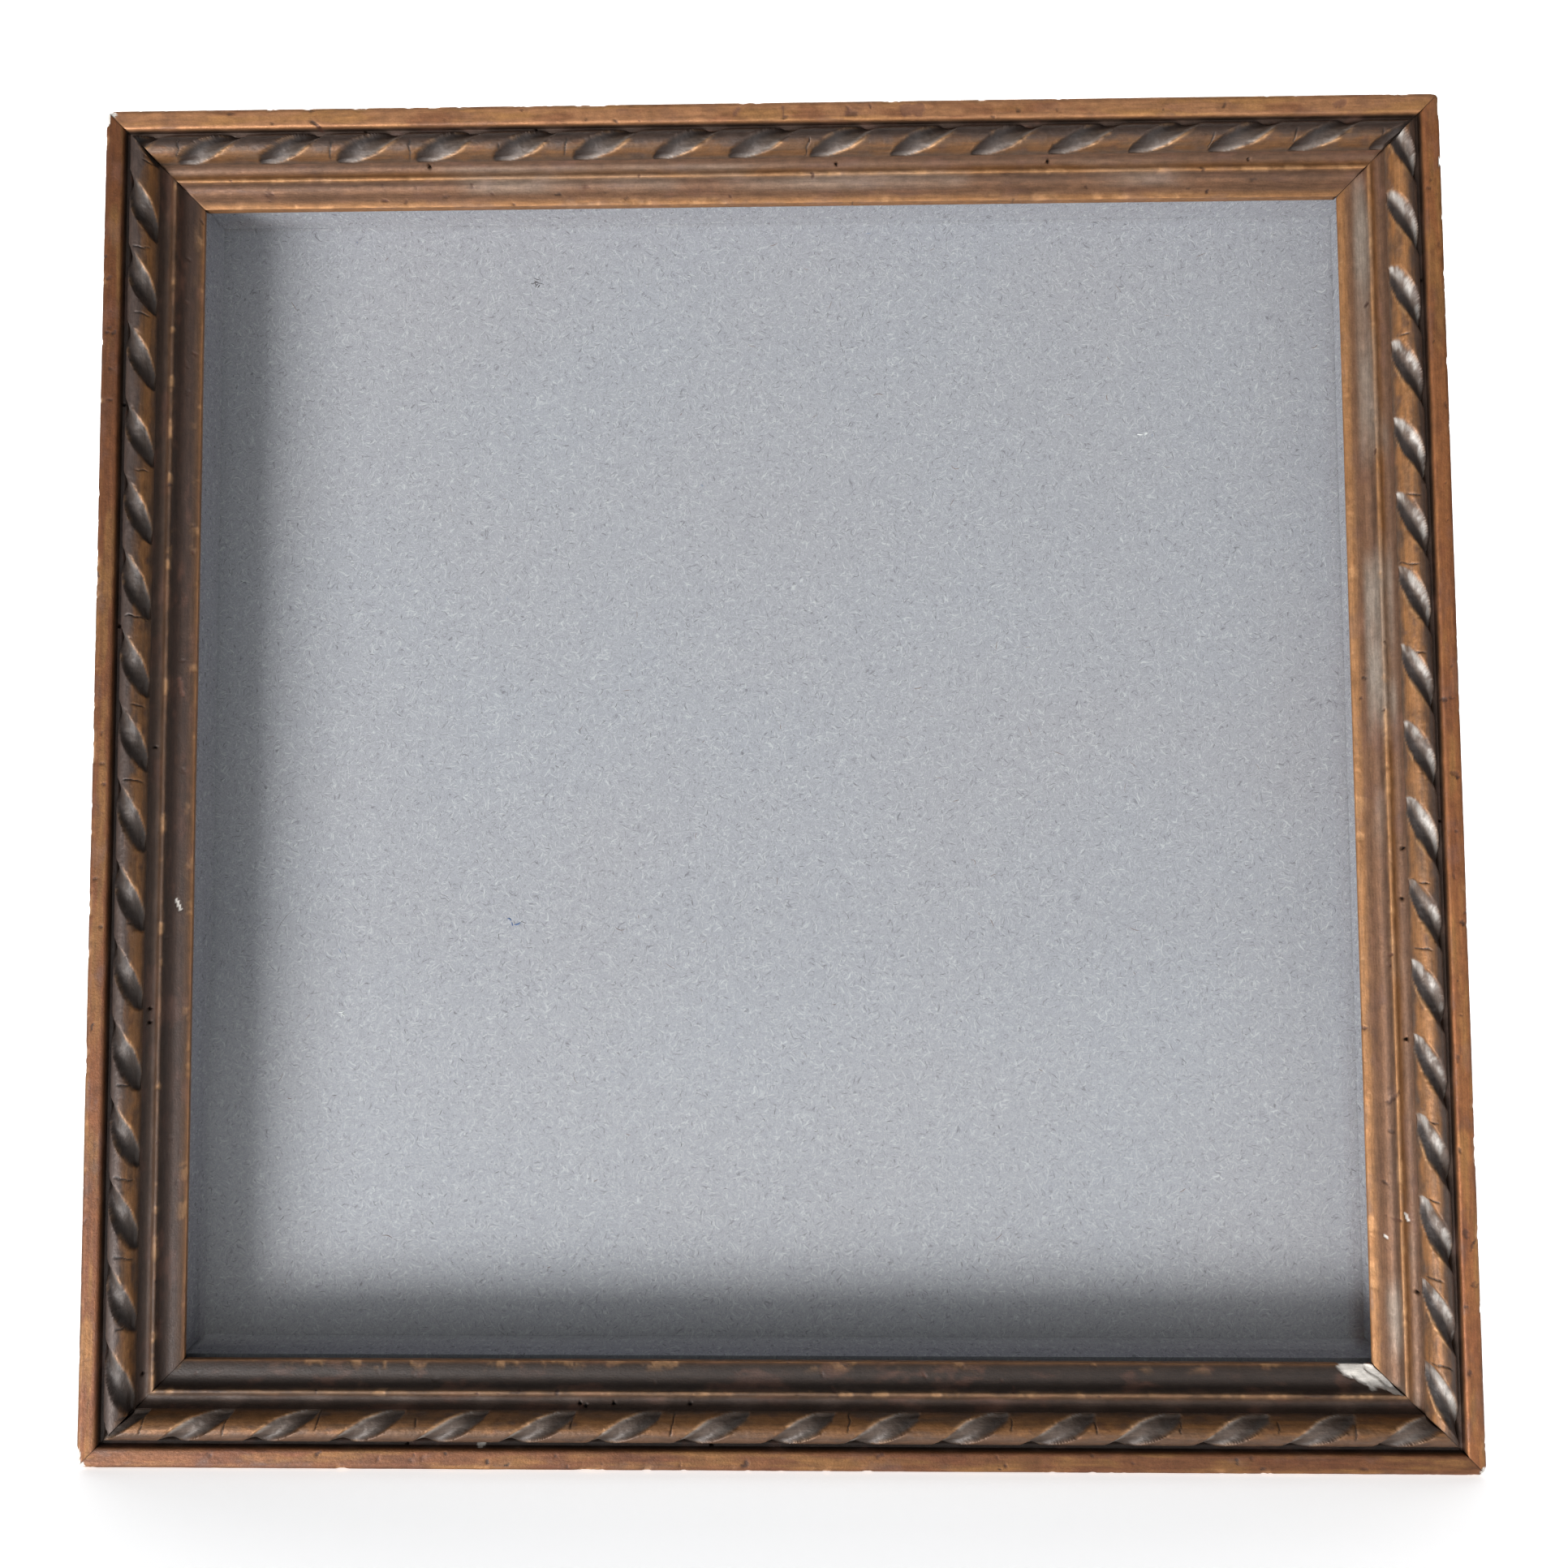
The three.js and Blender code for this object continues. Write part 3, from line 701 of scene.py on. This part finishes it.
def make_rope(k, name):
    rng = np.random.default_rng(140 + k)
    count, arcs = ROPE_STATIONS, 37
    theta = np.linspace(0, math.pi, arcs)
    degrees = np.degrees(theta)
    pitch, first = PITCH[name], FIRST[name]
    foot = ROPE_CENTRE + 0.8 * WIDEN[name] - ROPE_HALF * np.cos(theta)
    xi = np.linspace(-1, 1, count)[:, None]
    x = xi * (HALF - foot - MITRE)[None, :]
    angle = np.broadcast_to(theta, x.shape)
    deg = np.broadcast_to(degrees, x.shape)

    # Leaf-shaped scoops, leaning forward towards the outer edge
    lean = LEAN * (90 - deg) / 90
    wander = 0.5 * noise(x / 9, deg / 70, 0, 20 + k)
    turns = (x + wander - first - lean) / pitch
    index = np.round(turns).astype(int)
    jitter = np.array([rng.uniform(-1, 1, 3) for _ in range(64)])
    own = jitter[(index + 20) % 64]
    half = np.interp(deg, [0, 30, 60, 90, 135, 160, 172, 180], [3.2, 3.8, 4.7, 5.2, 5.1, 3.4, 2.0, 0.6])
    half = half * (1 + 0.07 * own[..., 1])
    phi = ((turns - index) * pitch + 0.5 * own[..., 0]) / half
    inside = np.clip(1 - phi * phi, 0, 1)
    skew = np.clip(1 - ((phi + 0.22) / (1 + 0.22 * phi)) ** 2, 0, 1)
    ends = smooth(183, 158, deg) * lerp(0.75, 1.0, smooth(0, 50, deg))
    share = skew**0.75 * ends * (1 + 0.1 * own[..., 2])
    arc_mm = angle * 4.6
    gouge = 0.05 * fbm(x / 0.9, arc_mm / 2.6, 0, 30 + k, 3) * smooth(0, 0.3, inside)
    lump = 0.012 * fbm(x / 3.0, arc_mm / 2.2, 0, 35 + k, 3) + 0.01 * fbm(x / 0.8, arc_mm / 0.8, 0, 36 + k, 2)
    edge_right = np.exp(-(((phi - 1.0) / 0.16) ** 2)) * smooth(170, 150, deg)
    edge_left = np.exp(-(((phi + 1.0) / 0.14) ** 2)) * smooth(170, 150, deg)
    nicks = smooth(0.1, 0.5, fbm(x / 1.1, arc_mm / 1.1, 0, 38 + k, 3))
    left = 1 - SCOOP * share - gouge * 0.3 - 0.012 + lump - 0.05 * nicks * (edge_right + edge_left)

    # Shrinkage cracks across the lobes
    crack = np.zeros_like(x)
    for n in range(-2, 20):
        if rng.random() < 0.28:
            continue
        centre = first + (n + 0.5) * pitch + rng.uniform(-2.5, 2.5)
        a, b = rng.uniform(70, 112), rng.uniform(135, 168)
        path = centre + 0.35 * noise(deg / 22, n, 0, 50 + k) + (120 - deg) * 0.012
        gap = np.abs(x - path)
        run = smooth(a - 6, a + 6, deg) * smooth(b + 6, b - 6, deg) * smooth(0.2, 0.0, inside)
        crack = np.maximum(crack, smooth(0.24, 0.06, gap) * run)
    left = left - 0.07 * crack

    left = np.clip(left, 0.3, 0.998)
    u = ROPE_CENTRE + 0.8 * WIDEN[name] - ROPE_HALF * np.cos(angle) * (0.3 + 0.7 * left)
    t = SEAT * (1 - np.sin(angle) * left)

    # Tone: brown-gold lobes, gunmetal scoops, dirt and painted shade at both feet, painted shade and
    # highlights by side
    patch = fbm(x / 4.2, arc_mm / 2.4, 0, 45 + k, 4, 0.6)
    flow = fbm(x / 9, arc_mm / 1.0, 0, 46 + k, 3)
    tone = np.broadcast_to(GOLD, x.shape + (3,)).copy()

    def paint(mask, colour, amount=1.0):
        nonlocal tone
        tone = painted(tone, mask, colour, amount)

    # a painted highlight along the crown of the lobes
    crown_highlight = smooth(60, 95, deg) * smooth(170, 140, deg)
    paint(crown_highlight * smooth(-0.2, 0.4, flow), srgb(150, 104, 60), 0.4)
    # lobes darkened by side: painted shade
    tone = tone * LOBE_SIDE_SHADE[name]
    paint(smooth(0.1, 0.5, patch), BOLE, 0.5)
    paint(smooth(-0.1, 0.5, -flow + 0.6 * patch), srgb(84, 66, 50), 0.45)
    left_shade, left_highlight, right_shade, right_highlight, outer_dirt_and_shade, reach = SCOOP_LIGHTING_BY_SIDE[name]
    # dirt and painted shade over the outer part of the rope, by side
    paint(smooth(reach, reach - 44, deg + 26 * patch), srgb(62, 52, 48), outer_dirt_and_shade)
    # dirt and painted shade at the outer and inner feet of the rope
    paint(smooth(48, 22, deg), DIRT_AND_SHADE, 0.8)
    paint(smooth(146, 174, deg + 14 * patch), srgb(88, 74, 64), 0.8)
    in_scoop = smooth(0.02, 0.3, inside + 0.12 * patch) * smooth(182, 165, deg)
    # the scoops' grey, darkened by side as painted shade
    paint(in_scoop, SCOOP_GREY * SCOOP_SIDE_SHADE[name], 0.95)
    left_wall, right_wall = smooth(0.25, -0.65, phi), smooth(SHADE_SPLIT[name], SHADE_SPLIT[name] + 0.6, phi)
    # painted shade on the left and right walls of the scoops, by side
    paint(in_scoop * left_wall, SCOOP_WALL_SHADE * 0.7, left_shade)
    paint(in_scoop * right_wall, SCOOP_WALL_SHADE * 0.7, right_shade)
    # painted silver highlights on the scoop walls, by side
    paint(in_scoop * smooth(0.0, -0.7, phi) * smooth(-0.3, 0.3, patch), SILVER_HIGHLIGHT, left_highlight)
    paint(in_scoop * smooth(0.45, 0.9, phi) * smooth(-0.3, 0.3, patch), SILVER_HIGHLIGHT, right_highlight)
    # darker towards the outer side of the scoops
    paint(smooth(80, 30, deg) * in_scoop, DIRT_AND_SHADE, 0.5)
    # painted shade over the inner end of the scoops' left half
    paint(in_scoop * smooth(90, 135, deg) * smooth(0.6, 0.0, phi), DIRT_AND_SHADE, 0.8 * left_shade)
    # painted highlight and rubbed gilding along the scoops' right edges, rub along their left edges
    paint(edge_right * smooth(-0.3, 0.2, patch) * smooth(70, 110, deg), HIGHLIGHT_AND_RUB, 0.8 * SCOOP_SIDE_SHADE[name])
    paint(edge_left * smooth(0.0, 0.4, patch), HIGHLIGHT_AND_RUB, 0.2)
    paint(crack, DIRT_AND_SHADE * 0.35)
    corner = (HALF - foot[None, :] - MITRE) - np.abs(x)
    paint(smooth(0.4, 0.05, corner + 0.4 * patch), DIRT_AND_SHADE, 0.4)
    metal = np.clip(0.75 + 0.4 * patch, 0.35, 1) * (1 - crack) * (1 - 0.5 * in_scoop)

    # The flat glued side closes the ring
    back = 5
    w = np.linspace(1, 0, back + 2)[1:-1]
    u_back = u[:, :1] + (u[:, -1:] - u[:, :1]) * w
    x_back = x[:, :1] + (x[:, -1:] - x[:, :1]) * w
    t_back = np.full_like(u_back, SEAT)

    def closed(values, extra):
        return np.concatenate([values, extra], 1)

    tone = closed(tone, np.broadcast_to(DIRT_AND_SHADE, (count, back, 3)))
    metal = closed(metal, np.zeros((count, back)))
    arc_all = closed(arc_mm, np.full((count, back), 20.0))
    x, t, u = closed(x, x_back), closed(t, t_back), closed(u, u_back)
    along = np.stack([x, arc_all, np.full_like(x, 100.0 * k + 50)], -1)
    obj = mesh_object(
        f"twist_{name}", to_row(k, x, t, u), swept_faces(count, arcs + back), GILT_ROPE,
        {"metal": metal, "chip": np.zeros_like(x)}, {"tone": tone}, {"along": along}, 60,
    )
    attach(obj, "frame")
    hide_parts(f"rope_{name}")


# ---------------------------------------------------------------- battens
def make_batten(k, name):
    count = BATTEN_STATIONS
    r = 0.5
    section = section_path(
        (DEPTH - r, 0.06),
        [
            ((RAIL_BACK + r, 0.06), 26),
            ((RAIL_BACK, r), 3, (RAIL_BACK, 0.06)),
            ((RAIL_BACK, BATTEN - r), 14),
            ((RAIL_BACK + r, BATTEN), 3, (RAIL_BACK, BATTEN)),
            ((DEPTH - r, BATTEN), 22),
            ((DEPTH, BATTEN - r), 4, (DEPTH, BATTEN)),
            ((DEPTH, r), 22),
            ((DEPTH - r, 0.06), 4, (DEPTH, 0.06)),
        ],
    )
    normals = ring_normals(section)
    x = stations(section, count, MITRE)
    arc = np.concatenate([[0], np.cumsum(np.linalg.norm(np.diff(section, axis=0), axis=1))])
    arc = np.broadcast_to(arc, x.shape)
    push = -0.06 + 0.06 * fbm(x / 40, arc / 6, 0, 200 + k, 3) + 0.05 * fbm(x / 12, arc / 0.8, 0, 210 + k, 3)
    rim = np.minimum(np.abs(section[:, 0] - DEPTH) + np.minimum(section[:, 1], BATTEN - section[:, 1]), 2)
    rim = np.broadcast_to(rim, x.shape)
    push = push - 0.5 * smooth(1.4, 0.2, rim) * smooth(0.2, 0.6, fbm(x / 5, arc / 3, 0, 220 + k, 3))
    push = np.minimum(push, 0)
    t = section[:, 0] + normals[:, 0] * push
    u = section[:, 1] + normals[:, 1] * push
    along = np.stack([x, arc, np.full_like(x, 100.0 * k + 25)], -1)
    x, u = round_corner(x, u, CORNER_RADIUS)
    obj = mesh_object(
        f"carcass_{name}", to_row(k, x, t, u), swept_faces(count, len(section)), WOOD,
        vectors={"along": along},
    )
    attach(obj, "frame")
    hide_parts(f"batten_{name}")


for k, name in enumerate(SIDE_NAMES):
    make_rail(k, name)
    make_rope(k, name)
    make_batten(k, name)


# ---------------------------------------------------------------- sheets and liners
def slab(name, node, body, material, step, edge, bow, seed):
    """A sheet with gridded faces, softened edges and a slight bow, inside the node's box."""
    lo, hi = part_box(node)
    nx = max(2, int((hi.x - lo.x) / MM / step))
    nz = max(2, int((hi.z - lo.z) / MM / step))
    gx, gz = np.meshgrid(np.linspace(lo.x, hi.x, nx + 1), np.linspace(lo.z, hi.z, nz + 1), indexing="ij")
    rim = np.minimum(np.minimum(gx - lo.x, hi.x - gx), np.minimum(gz - lo.z, hi.z - gz)) / MM
    soft = edge * (1 - np.sqrt(np.clip(1 - (1 - np.clip(rim / max(edge, 1e-6), 0, 1)) ** 2, 0, 1)))
    wave = bow * (0.5 + 0.5 * fbm(gx / 0.09, gz / 0.09, 0, seed, 3))
    front = np.stack([gx, lo.y + (soft + wave) * MM, gz], -1)
    back = np.stack([gx, hi.y - (soft + bow - wave) * MM, gz], -1)
    cols = nz + 1
    i, j = np.meshgrid(np.arange(nx), np.arange(nz), indexing="ij")
    a = (i * cols + j).ravel()
    front_faces = np.stack([a, a + cols, a + cols + 1, a + 1], -1)
    total = (nx + 1) * cols
    back_faces = np.stack([a, a + 1, a + cols + 1, a + cols], -1) + total
    ring = (
        [i * cols for i in range(nx)]
        + [nx * cols + j for j in range(nz)]
        + [i * cols + nz for i in range(nx, 0, -1)]
        + [j for j in range(nz, 0, -1)]
    )
    sides = [[a, a + total, b + total, b] for a, b in zip(ring, ring[1:] + ring[:1])]
    faces = front_faces.tolist() + back_faces.tolist() + sides
    points = np.concatenate([front.reshape(-1, 3), back.reshape(-1, 3)])
    obj = mesh_object(name, points, faces, material, angle=30)
    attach(obj, body)
    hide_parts(node)


slab("display_board", "backing_board", "back", BOARD, 3, 0.25, 0.12, 501)
slab("back_panel", "back_cover", "back", HARDBOARD, 3, 0.4, 0.2, 502)
slab("pane", "glass_pane", "frame", GLASS, 40, 0.0, 0.0, 503)
for n, name in enumerate(SIDE_NAMES):
    slab(f"lining_{name}", f"liner_{name}", "frame", BOARD, 2, 0.2, 0.05, 510 + n)


# Loose fibres pressed into the face of the display board
def board_fibres(name, count, colour, rng, length, radius, spot=None):
    """Fibres over the whole board, or within a given distance of a spot (x, z, distance)."""
    lo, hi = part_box("backing_board")
    material = plain_material(name, colour, 0.8)
    points, faces = [], []
    for _ in range(count):
        if spot:
            centre = (np.array(spot[:2]) + rng.uniform(-1, 1, 2) * spot[2]) * MM
        else:
            across = rng.uniform(lo.x + 3 * MM, hi.x - 3 * MM)
            centre = np.array([across, rng.uniform(lo.z + 3 * MM, hi.z - 3 * MM)])
        heading = rng.uniform(0, 2 * math.pi)
        size = rng.uniform(*length) * MM
        r = rng.uniform(*radius) * MM
        bend = rng.normal(0, 0.9)
        steps = 5
        p = centre.copy()
        start = len(points)
        for s in range(steps + 1):
            a = heading + bend * (s / steps - 0.5)
            side = np.array([-math.sin(a), math.cos(a)])
            taper = r * (0.35 + 0.65 * math.sin(math.pi * (s + 0.35) / (steps + 0.7)))
            for offset, lift in ((-1, 0.0), (0, 1.0), (1, 0.0)):
                q = p + side * taper * offset
                points.append((q[0], lo.y + 0.08 * MM - taper * 1.1 * lift - 0.02 * MM, q[1]))
            p = p + np.array([math.cos(a), math.sin(a)]) * size / steps
        for s in range(steps):
            b = start + 3 * s
            faces += [[b, b + 1, b + 4, b + 3], [b + 1, b + 2, b + 5, b + 4], [b, b + 3, b + 5, b + 2]]
        e = start + 3 * steps
        faces += [[start, start + 2, start + 1], [e, e + 1, e + 2]]
    obj = mesh_object(name, np.array(points), faces, material, angle=80)
    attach(obj, "back")


fibre_rng = np.random.default_rng(77)
board_fibres("fibres_pale", 900, srgb(198, 198, 200), fibre_rng, (0.7, 2.6), (0.03, 0.07))
board_fibres("fibres_dark", 520, srgb(66, 62, 64), fibre_rng, (0.5, 1.9), (0.03, 0.07))
board_fibres("fibres_brown", 90, srgb(112, 82, 66), fibre_rng, (0.8, 3.0), (0.04, 0.08))
board_fibres("fibres_blue", 10, srgb(84, 112, 150), fibre_rng, (0.5, 1.6), (0.04, 0.08))
# The marks that stand out: name, count, colour, lengths, radii, spot
for mark in (
    ("blue", 3, (66, 98, 150), (1.0, 1.8), (0.12, 0.2), (-70.3, 133.9, 0.6)),
    ("clump", 9, (58, 50, 52), (0.8, 2.0), (0.08, 0.16), (-64.3, 313.4, 0.8)),
    ("fleck_right", 3, (214, 214, 214), (0.9, 1.6), (0.12, 0.2), (104.9, 268.4, 0.4)),
    ("fleck_left", 3, (214, 214, 214), (0.9, 1.6), (0.12, 0.2), (-117.0, 109.7, 0.4)),
    ("hair", 1, (88, 80, 80), (11, 13), (0.07, 0.09), (-129.1, 138.9, 0.1)),
):
    name, count, colour, lengths, radii, spot = mark
    board_fibres(f"mark_{name}", count, srgb(*colour), fibre_rng, lengths, radii, spot)


# ---------------------------------------------------------------- hardware
def refined(name, node, body, material, width):
    """The node's own shape with softened edges."""
    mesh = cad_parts[node].data.copy()
    mesh.name = name
    mesh.materials.clear()
    mesh.materials.append(material)
    obj = bpy.data.objects.new(name, mesh)
    bpy.context.scene.collection.objects.link(obj)
    weld = obj.modifiers.new("weld", "WELD")
    weld.merge_threshold = 1e-6
    bevel = obj.modifiers.new("bevel", "BEVEL")
    bevel.width = width * MM
    bevel.segments = 2
    bevel.limit_method = "ANGLE"
    bevel.angle_limit = math.radians(40)
    mesh.shade_smooth()
    mesh.set_sharp_from_angle(angle=math.radians(40))
    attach(obj, body)
    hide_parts(node)


def lathe_points(profile, around):
    angles = np.linspace(0, 2 * math.pi, around, endpoint=False)
    points = [(r * math.cos(a), h, r * math.sin(a)) for r, h in profile for a in angles]
    faces = [
        [low + j, low + (j + 1) % around, low + around + (j + 1) % around, low + around + j]
        for low in range(0, (len(profile) - 1) * around, around)
        for j in range(around)
    ]
    faces.append(list(range(around))[::-1])
    faces.append(list(range((len(profile) - 1) * around, len(profile) * around)))
    return np.array(points), faces


SCREW_LENGTH = 11.0


def screw_mesh():
    """A round-head screw along +Y with its head's underside at y = 0, before it is slotted."""
    length, shank, head_r, head = SCREW_LENGTH, 1.3, 2.9, 1.5
    profile = [(0.02, -length + 0.1), (0.3, -length + 0.6)]
    turns, steps = 9, 4
    for i in range(turns * steps):
        h = -length + 0.8 + i * (length - 3.2) / (turns * steps)
        profile.append((shank * (0.78 if i % steps in (0, 1) else 1.0) * min(1, 0.35 + i / 12), h))
    profile += [(shank, -2.2), (shank, -0.3), (shank + 0.15, 0.0), (head_r - 0.25, 0.0), (head_r, 0.12)]
    profile += [
        (head_r * math.cos(a), 0.16 + (head - 0.16) * math.sin(a))
        for a in np.linspace(0.1, math.pi / 2 - 0.02, 9)
    ]
    points, faces = lathe_points([(r * MM, h * MM) for r, h in profile], 40)
    return mesh_object("screw_blank", points, faces, STEEL, angle=40)


blank = screw_mesh()
cutter_mesh = bpy.data.meshes.new("slot_cutter")
reach, low, high, thick = 4 * MM, 0.85 * MM, 3 * MM, 0.38 * MM
corners = [(x, y, z) for x in (-reach, reach) for y in (low, high) for z in (-thick, thick)]
box_faces = [[0, 1, 3, 2], [4, 6, 7, 5], [0, 4, 5, 1], [2, 3, 7, 6], [0, 2, 6, 4], [1, 5, 7, 3]]
cutter_mesh.from_pydata(corners, [], box_faces)
cutter = bpy.data.objects.new("slot_cutter", cutter_mesh)
bpy.context.scene.collection.objects.link(cutter)
boolean = blank.modifiers.new("slot", "BOOLEAN")
boolean.object = cutter
boolean.operation = "DIFFERENCE"
bpy.context.view_layer.update()
slotted = bpy.data.meshes.new_from_object(blank.evaluated_get(bpy.context.evaluated_depsgraph_get()))
slotted.shade_smooth()
slotted.set_sharp_from_angle(angle=math.radians(35))
bpy.data.objects.remove(cutter)
bpy.data.objects.remove(blank)

screw_rng = np.random.default_rng(9)
for node in sorted(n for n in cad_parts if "_screw_" in n):
    lo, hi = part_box(node)
    obj = bpy.data.objects.new(node.replace("_screw_", "_fixing_"), slotted)
    bpy.context.scene.collection.objects.link(obj)
    obj.location = ((lo.x + hi.x) / 2, lo.y + SCREW_LENGTH * MM, (lo.z + hi.z) / 2)
    obj.rotation_euler = (0, screw_rng.uniform(0, math.pi), 0)
    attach(obj, "frame")
    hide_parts(node)

for level in ("upper", "lower"):
    for side in ("right", "left"):
        place = f"{side}_{level}"
        refined(f"button_plate_{place}", f"turn_button_{place}", f"button_{place}", BRASS, 0.25)
refined("hanger_strap", "hanger_plate", "frame", BRASS, 0.18)


def make_ring():
    lo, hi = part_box("hanger_ring")
    centre = (lo + hi) / 2
    wire = (hi.y - lo.y) / 2 * 0.99
    radius = (hi.x - lo.x) / 2 - wire
    major, minor = 72, 18
    points, faces = [], []
    for i in range(major):
        a = 2 * math.pi * i / major
        pinch = 1 - 0.16 * math.exp(-(((a - 0.7 + math.pi) % (2 * math.pi) - math.pi) / 0.05) ** 2)
        for j in range(minor):
            b = 2 * math.pi * j / minor
            r = radius + wire * pinch * math.cos(b)
            y = centre.y + wire * pinch * math.sin(b)
            points.append((centre.x + r * math.cos(a), y, centre.z + r * math.sin(a)))
            ii, jj = (i + 1) % major, (j + 1) % minor
            faces.append([i * minor + j, i * minor + jj, ii * minor + jj, ii * minor + j])
    obj = mesh_object("ring_wire", np.array(points), faces, BRASS, angle=60)
    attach(obj, "ring")
    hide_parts("hanger_ring")


make_ring()

# Round wire nails, driven in from the outer edges; the profile is (radius, height under the edge)
NAIL_PROFILE = [
    (0.02, -28), (0.9, -26.6), (0.9, -1.6), (1.0, -0.9), (1.6, -0.75),
    (1.7, -0.5), (1.68, -0.22), (1.35, -0.1), (0.05, -0.06),
]
for name in SIDE_NAMES:
    node = f"corner_nail_{name}"
    lo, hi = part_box(node)
    size = hi - lo
    axis = max(range(3), key=lambda i: size[i])
    outward = 1 if name in ("top", "right") else -1
    points, faces = lathe_points([(r * MM, h * MM) for r, h in NAIL_PROFILE], 28)
    obj = mesh_object(f"nail_{name}", points, faces, STEEL, angle=40)
    centre = (lo + hi) / 2
    direction = Vector([0, 0, 0])
    direction[axis] = outward
    tip = centre.copy()
    tip[axis] = hi[axis] if outward > 0 else lo[axis]
    aim = Vector((0, 1, 0)).rotation_difference(direction).to_matrix().to_4x4()
    obj.matrix_world = Matrix.Translation(tip) @ aim
    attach(obj, "frame")
    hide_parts(node)


# ---------------------------------------------------------------- floor and backdrop
def backdrop():
    width, near, far, bend, height = 6.0, -4.0, 1.0, 0.9, 4.0
    line = [(near, 0.0), (far, 0.0)]
    turn = np.linspace(0, math.pi / 2, 24)[1:]
    line += [(far + bend * math.sin(a), bend * (1 - math.cos(a))) for a in turn]
    line.append((far + bend, height))
    points = np.array([(x, y, z - 0.0002) for y, z in line for x in (-width, width)])
    faces = [[2 * i, 2 * i + 1, 2 * i + 3, 2 * i + 2] for i in range(len(line) - 1)]
    material, g, bsdf = new_material("paper_sweep")
    place = g.coords()
    tooth = g.noise(place, 900.0, 3, 0.6)
    g.put(bsdf.inputs["Base Color"], (0.8, 0.8, 0.805, 1))
    bsdf.inputs["Emission Color"].default_value = (1, 1, 1, 1)
    apart = g.nodes.new("ShaderNodeSeparateXYZ")
    g.put(apart.inputs[0], place)
    # the sweep glows, most under and behind the object and less towards the camera, lighting the object from
    # below
    g.put(bsdf.inputs["Emission Strength"], g.range(apart.outputs["Y"], -1.6, -0.25, 0.3, 0.72, True))
    bsdf.inputs["Roughness"].default_value = 0.95
    bsdf.inputs["Specular IOR Level"].default_value = 0.1
    g.put(bsdf.inputs["Normal"], g.bump(tooth, 0.15, 0.0002))
    obj = mesh_object("floor", points, faces, material, angle=60)
    obj.visible_shadow = False  # lit through from below, as a light table is


backdrop()


# ---------------------------------------------------------------- light and camera
def area(name, place, target, size, power, colour=(1, 1, 1)):
    data = bpy.data.lights.new(name, "AREA")
    data.shape = "RECTANGLE"
    data.size, data.size_y = size
    data.energy = power
    data.color = colour
    obj = bpy.data.objects.new(name, data)
    bpy.context.scene.collection.objects.link(obj)
    obj.location = place
    obj.rotation_euler = (Vector(target) - Vector(place)).to_track_quat("-Z", "Y").to_euler()


middle = Vector((0, FRONT_Y, CENTRE_Z))
area("key", (-1.5, -1.7, -1.1), middle, (1.5, 1.1), 104, (1.0, 0.985, 0.985))
area("wash", (0, 0.6, 2.6), (0, 1.6, 0.4), (2.4, 1.0), 30)


def studio_world():
    """A dim ceiling over a bright lower left, without an edge that glass could show."""
    world = bpy.data.worlds.new("studio")
    world.use_nodes = True
    g = Graph(world.node_tree)
    place = g.nodes.new("ShaderNodeTexCoord").outputs["Generated"]
    toward = g.nodes.new("ShaderNodeVectorMath")
    toward.operation = "DOT_PRODUCT"
    g.put(toward.inputs[0], place)
    toward.inputs[1].default_value = (-0.39, -0.77, -0.5)
    level = g.range(toward.outputs["Value"], -0.05, 0.65, 0.04, 0.6, True)
    background = g.nodes["Background"]
    background.inputs[0].default_value = (0.95, 0.97, 1.0, 1)
    g.put(background.inputs[1], level)
    bpy.context.scene.world = world


studio_world()

# Fitted to the photo: the eye from the middle of the front, in metres, and its turns in degrees
EYE = Vector((-0.0077, -0.3927, -0.0169))
TURNS = ((1.24, "Z"), (3.71, "X"), (0.19, "Y"), (90, "X"))
camera_data = bpy.data.cameras.new("camera")
camera_data.sensor_width = 36
camera_data.lens = 35.5
camera_data.shift_x = 0.0493
camera_data.shift_y = -0.0322
camera_data.clip_start = 0.02
camera = bpy.data.objects.new("camera", camera_data)
bpy.context.scene.collection.objects.link(camera)
turn = Matrix.Identity(4)
for degrees, axis in TURNS:
    turn = turn @ Matrix.Rotation(math.radians(degrees), 4, axis)
camera.matrix_world = Matrix.Translation(middle + EYE) @ turn
bpy.context.scene.camera = camera
bpy.context.scene.view_settings.view_transform = "Standard"
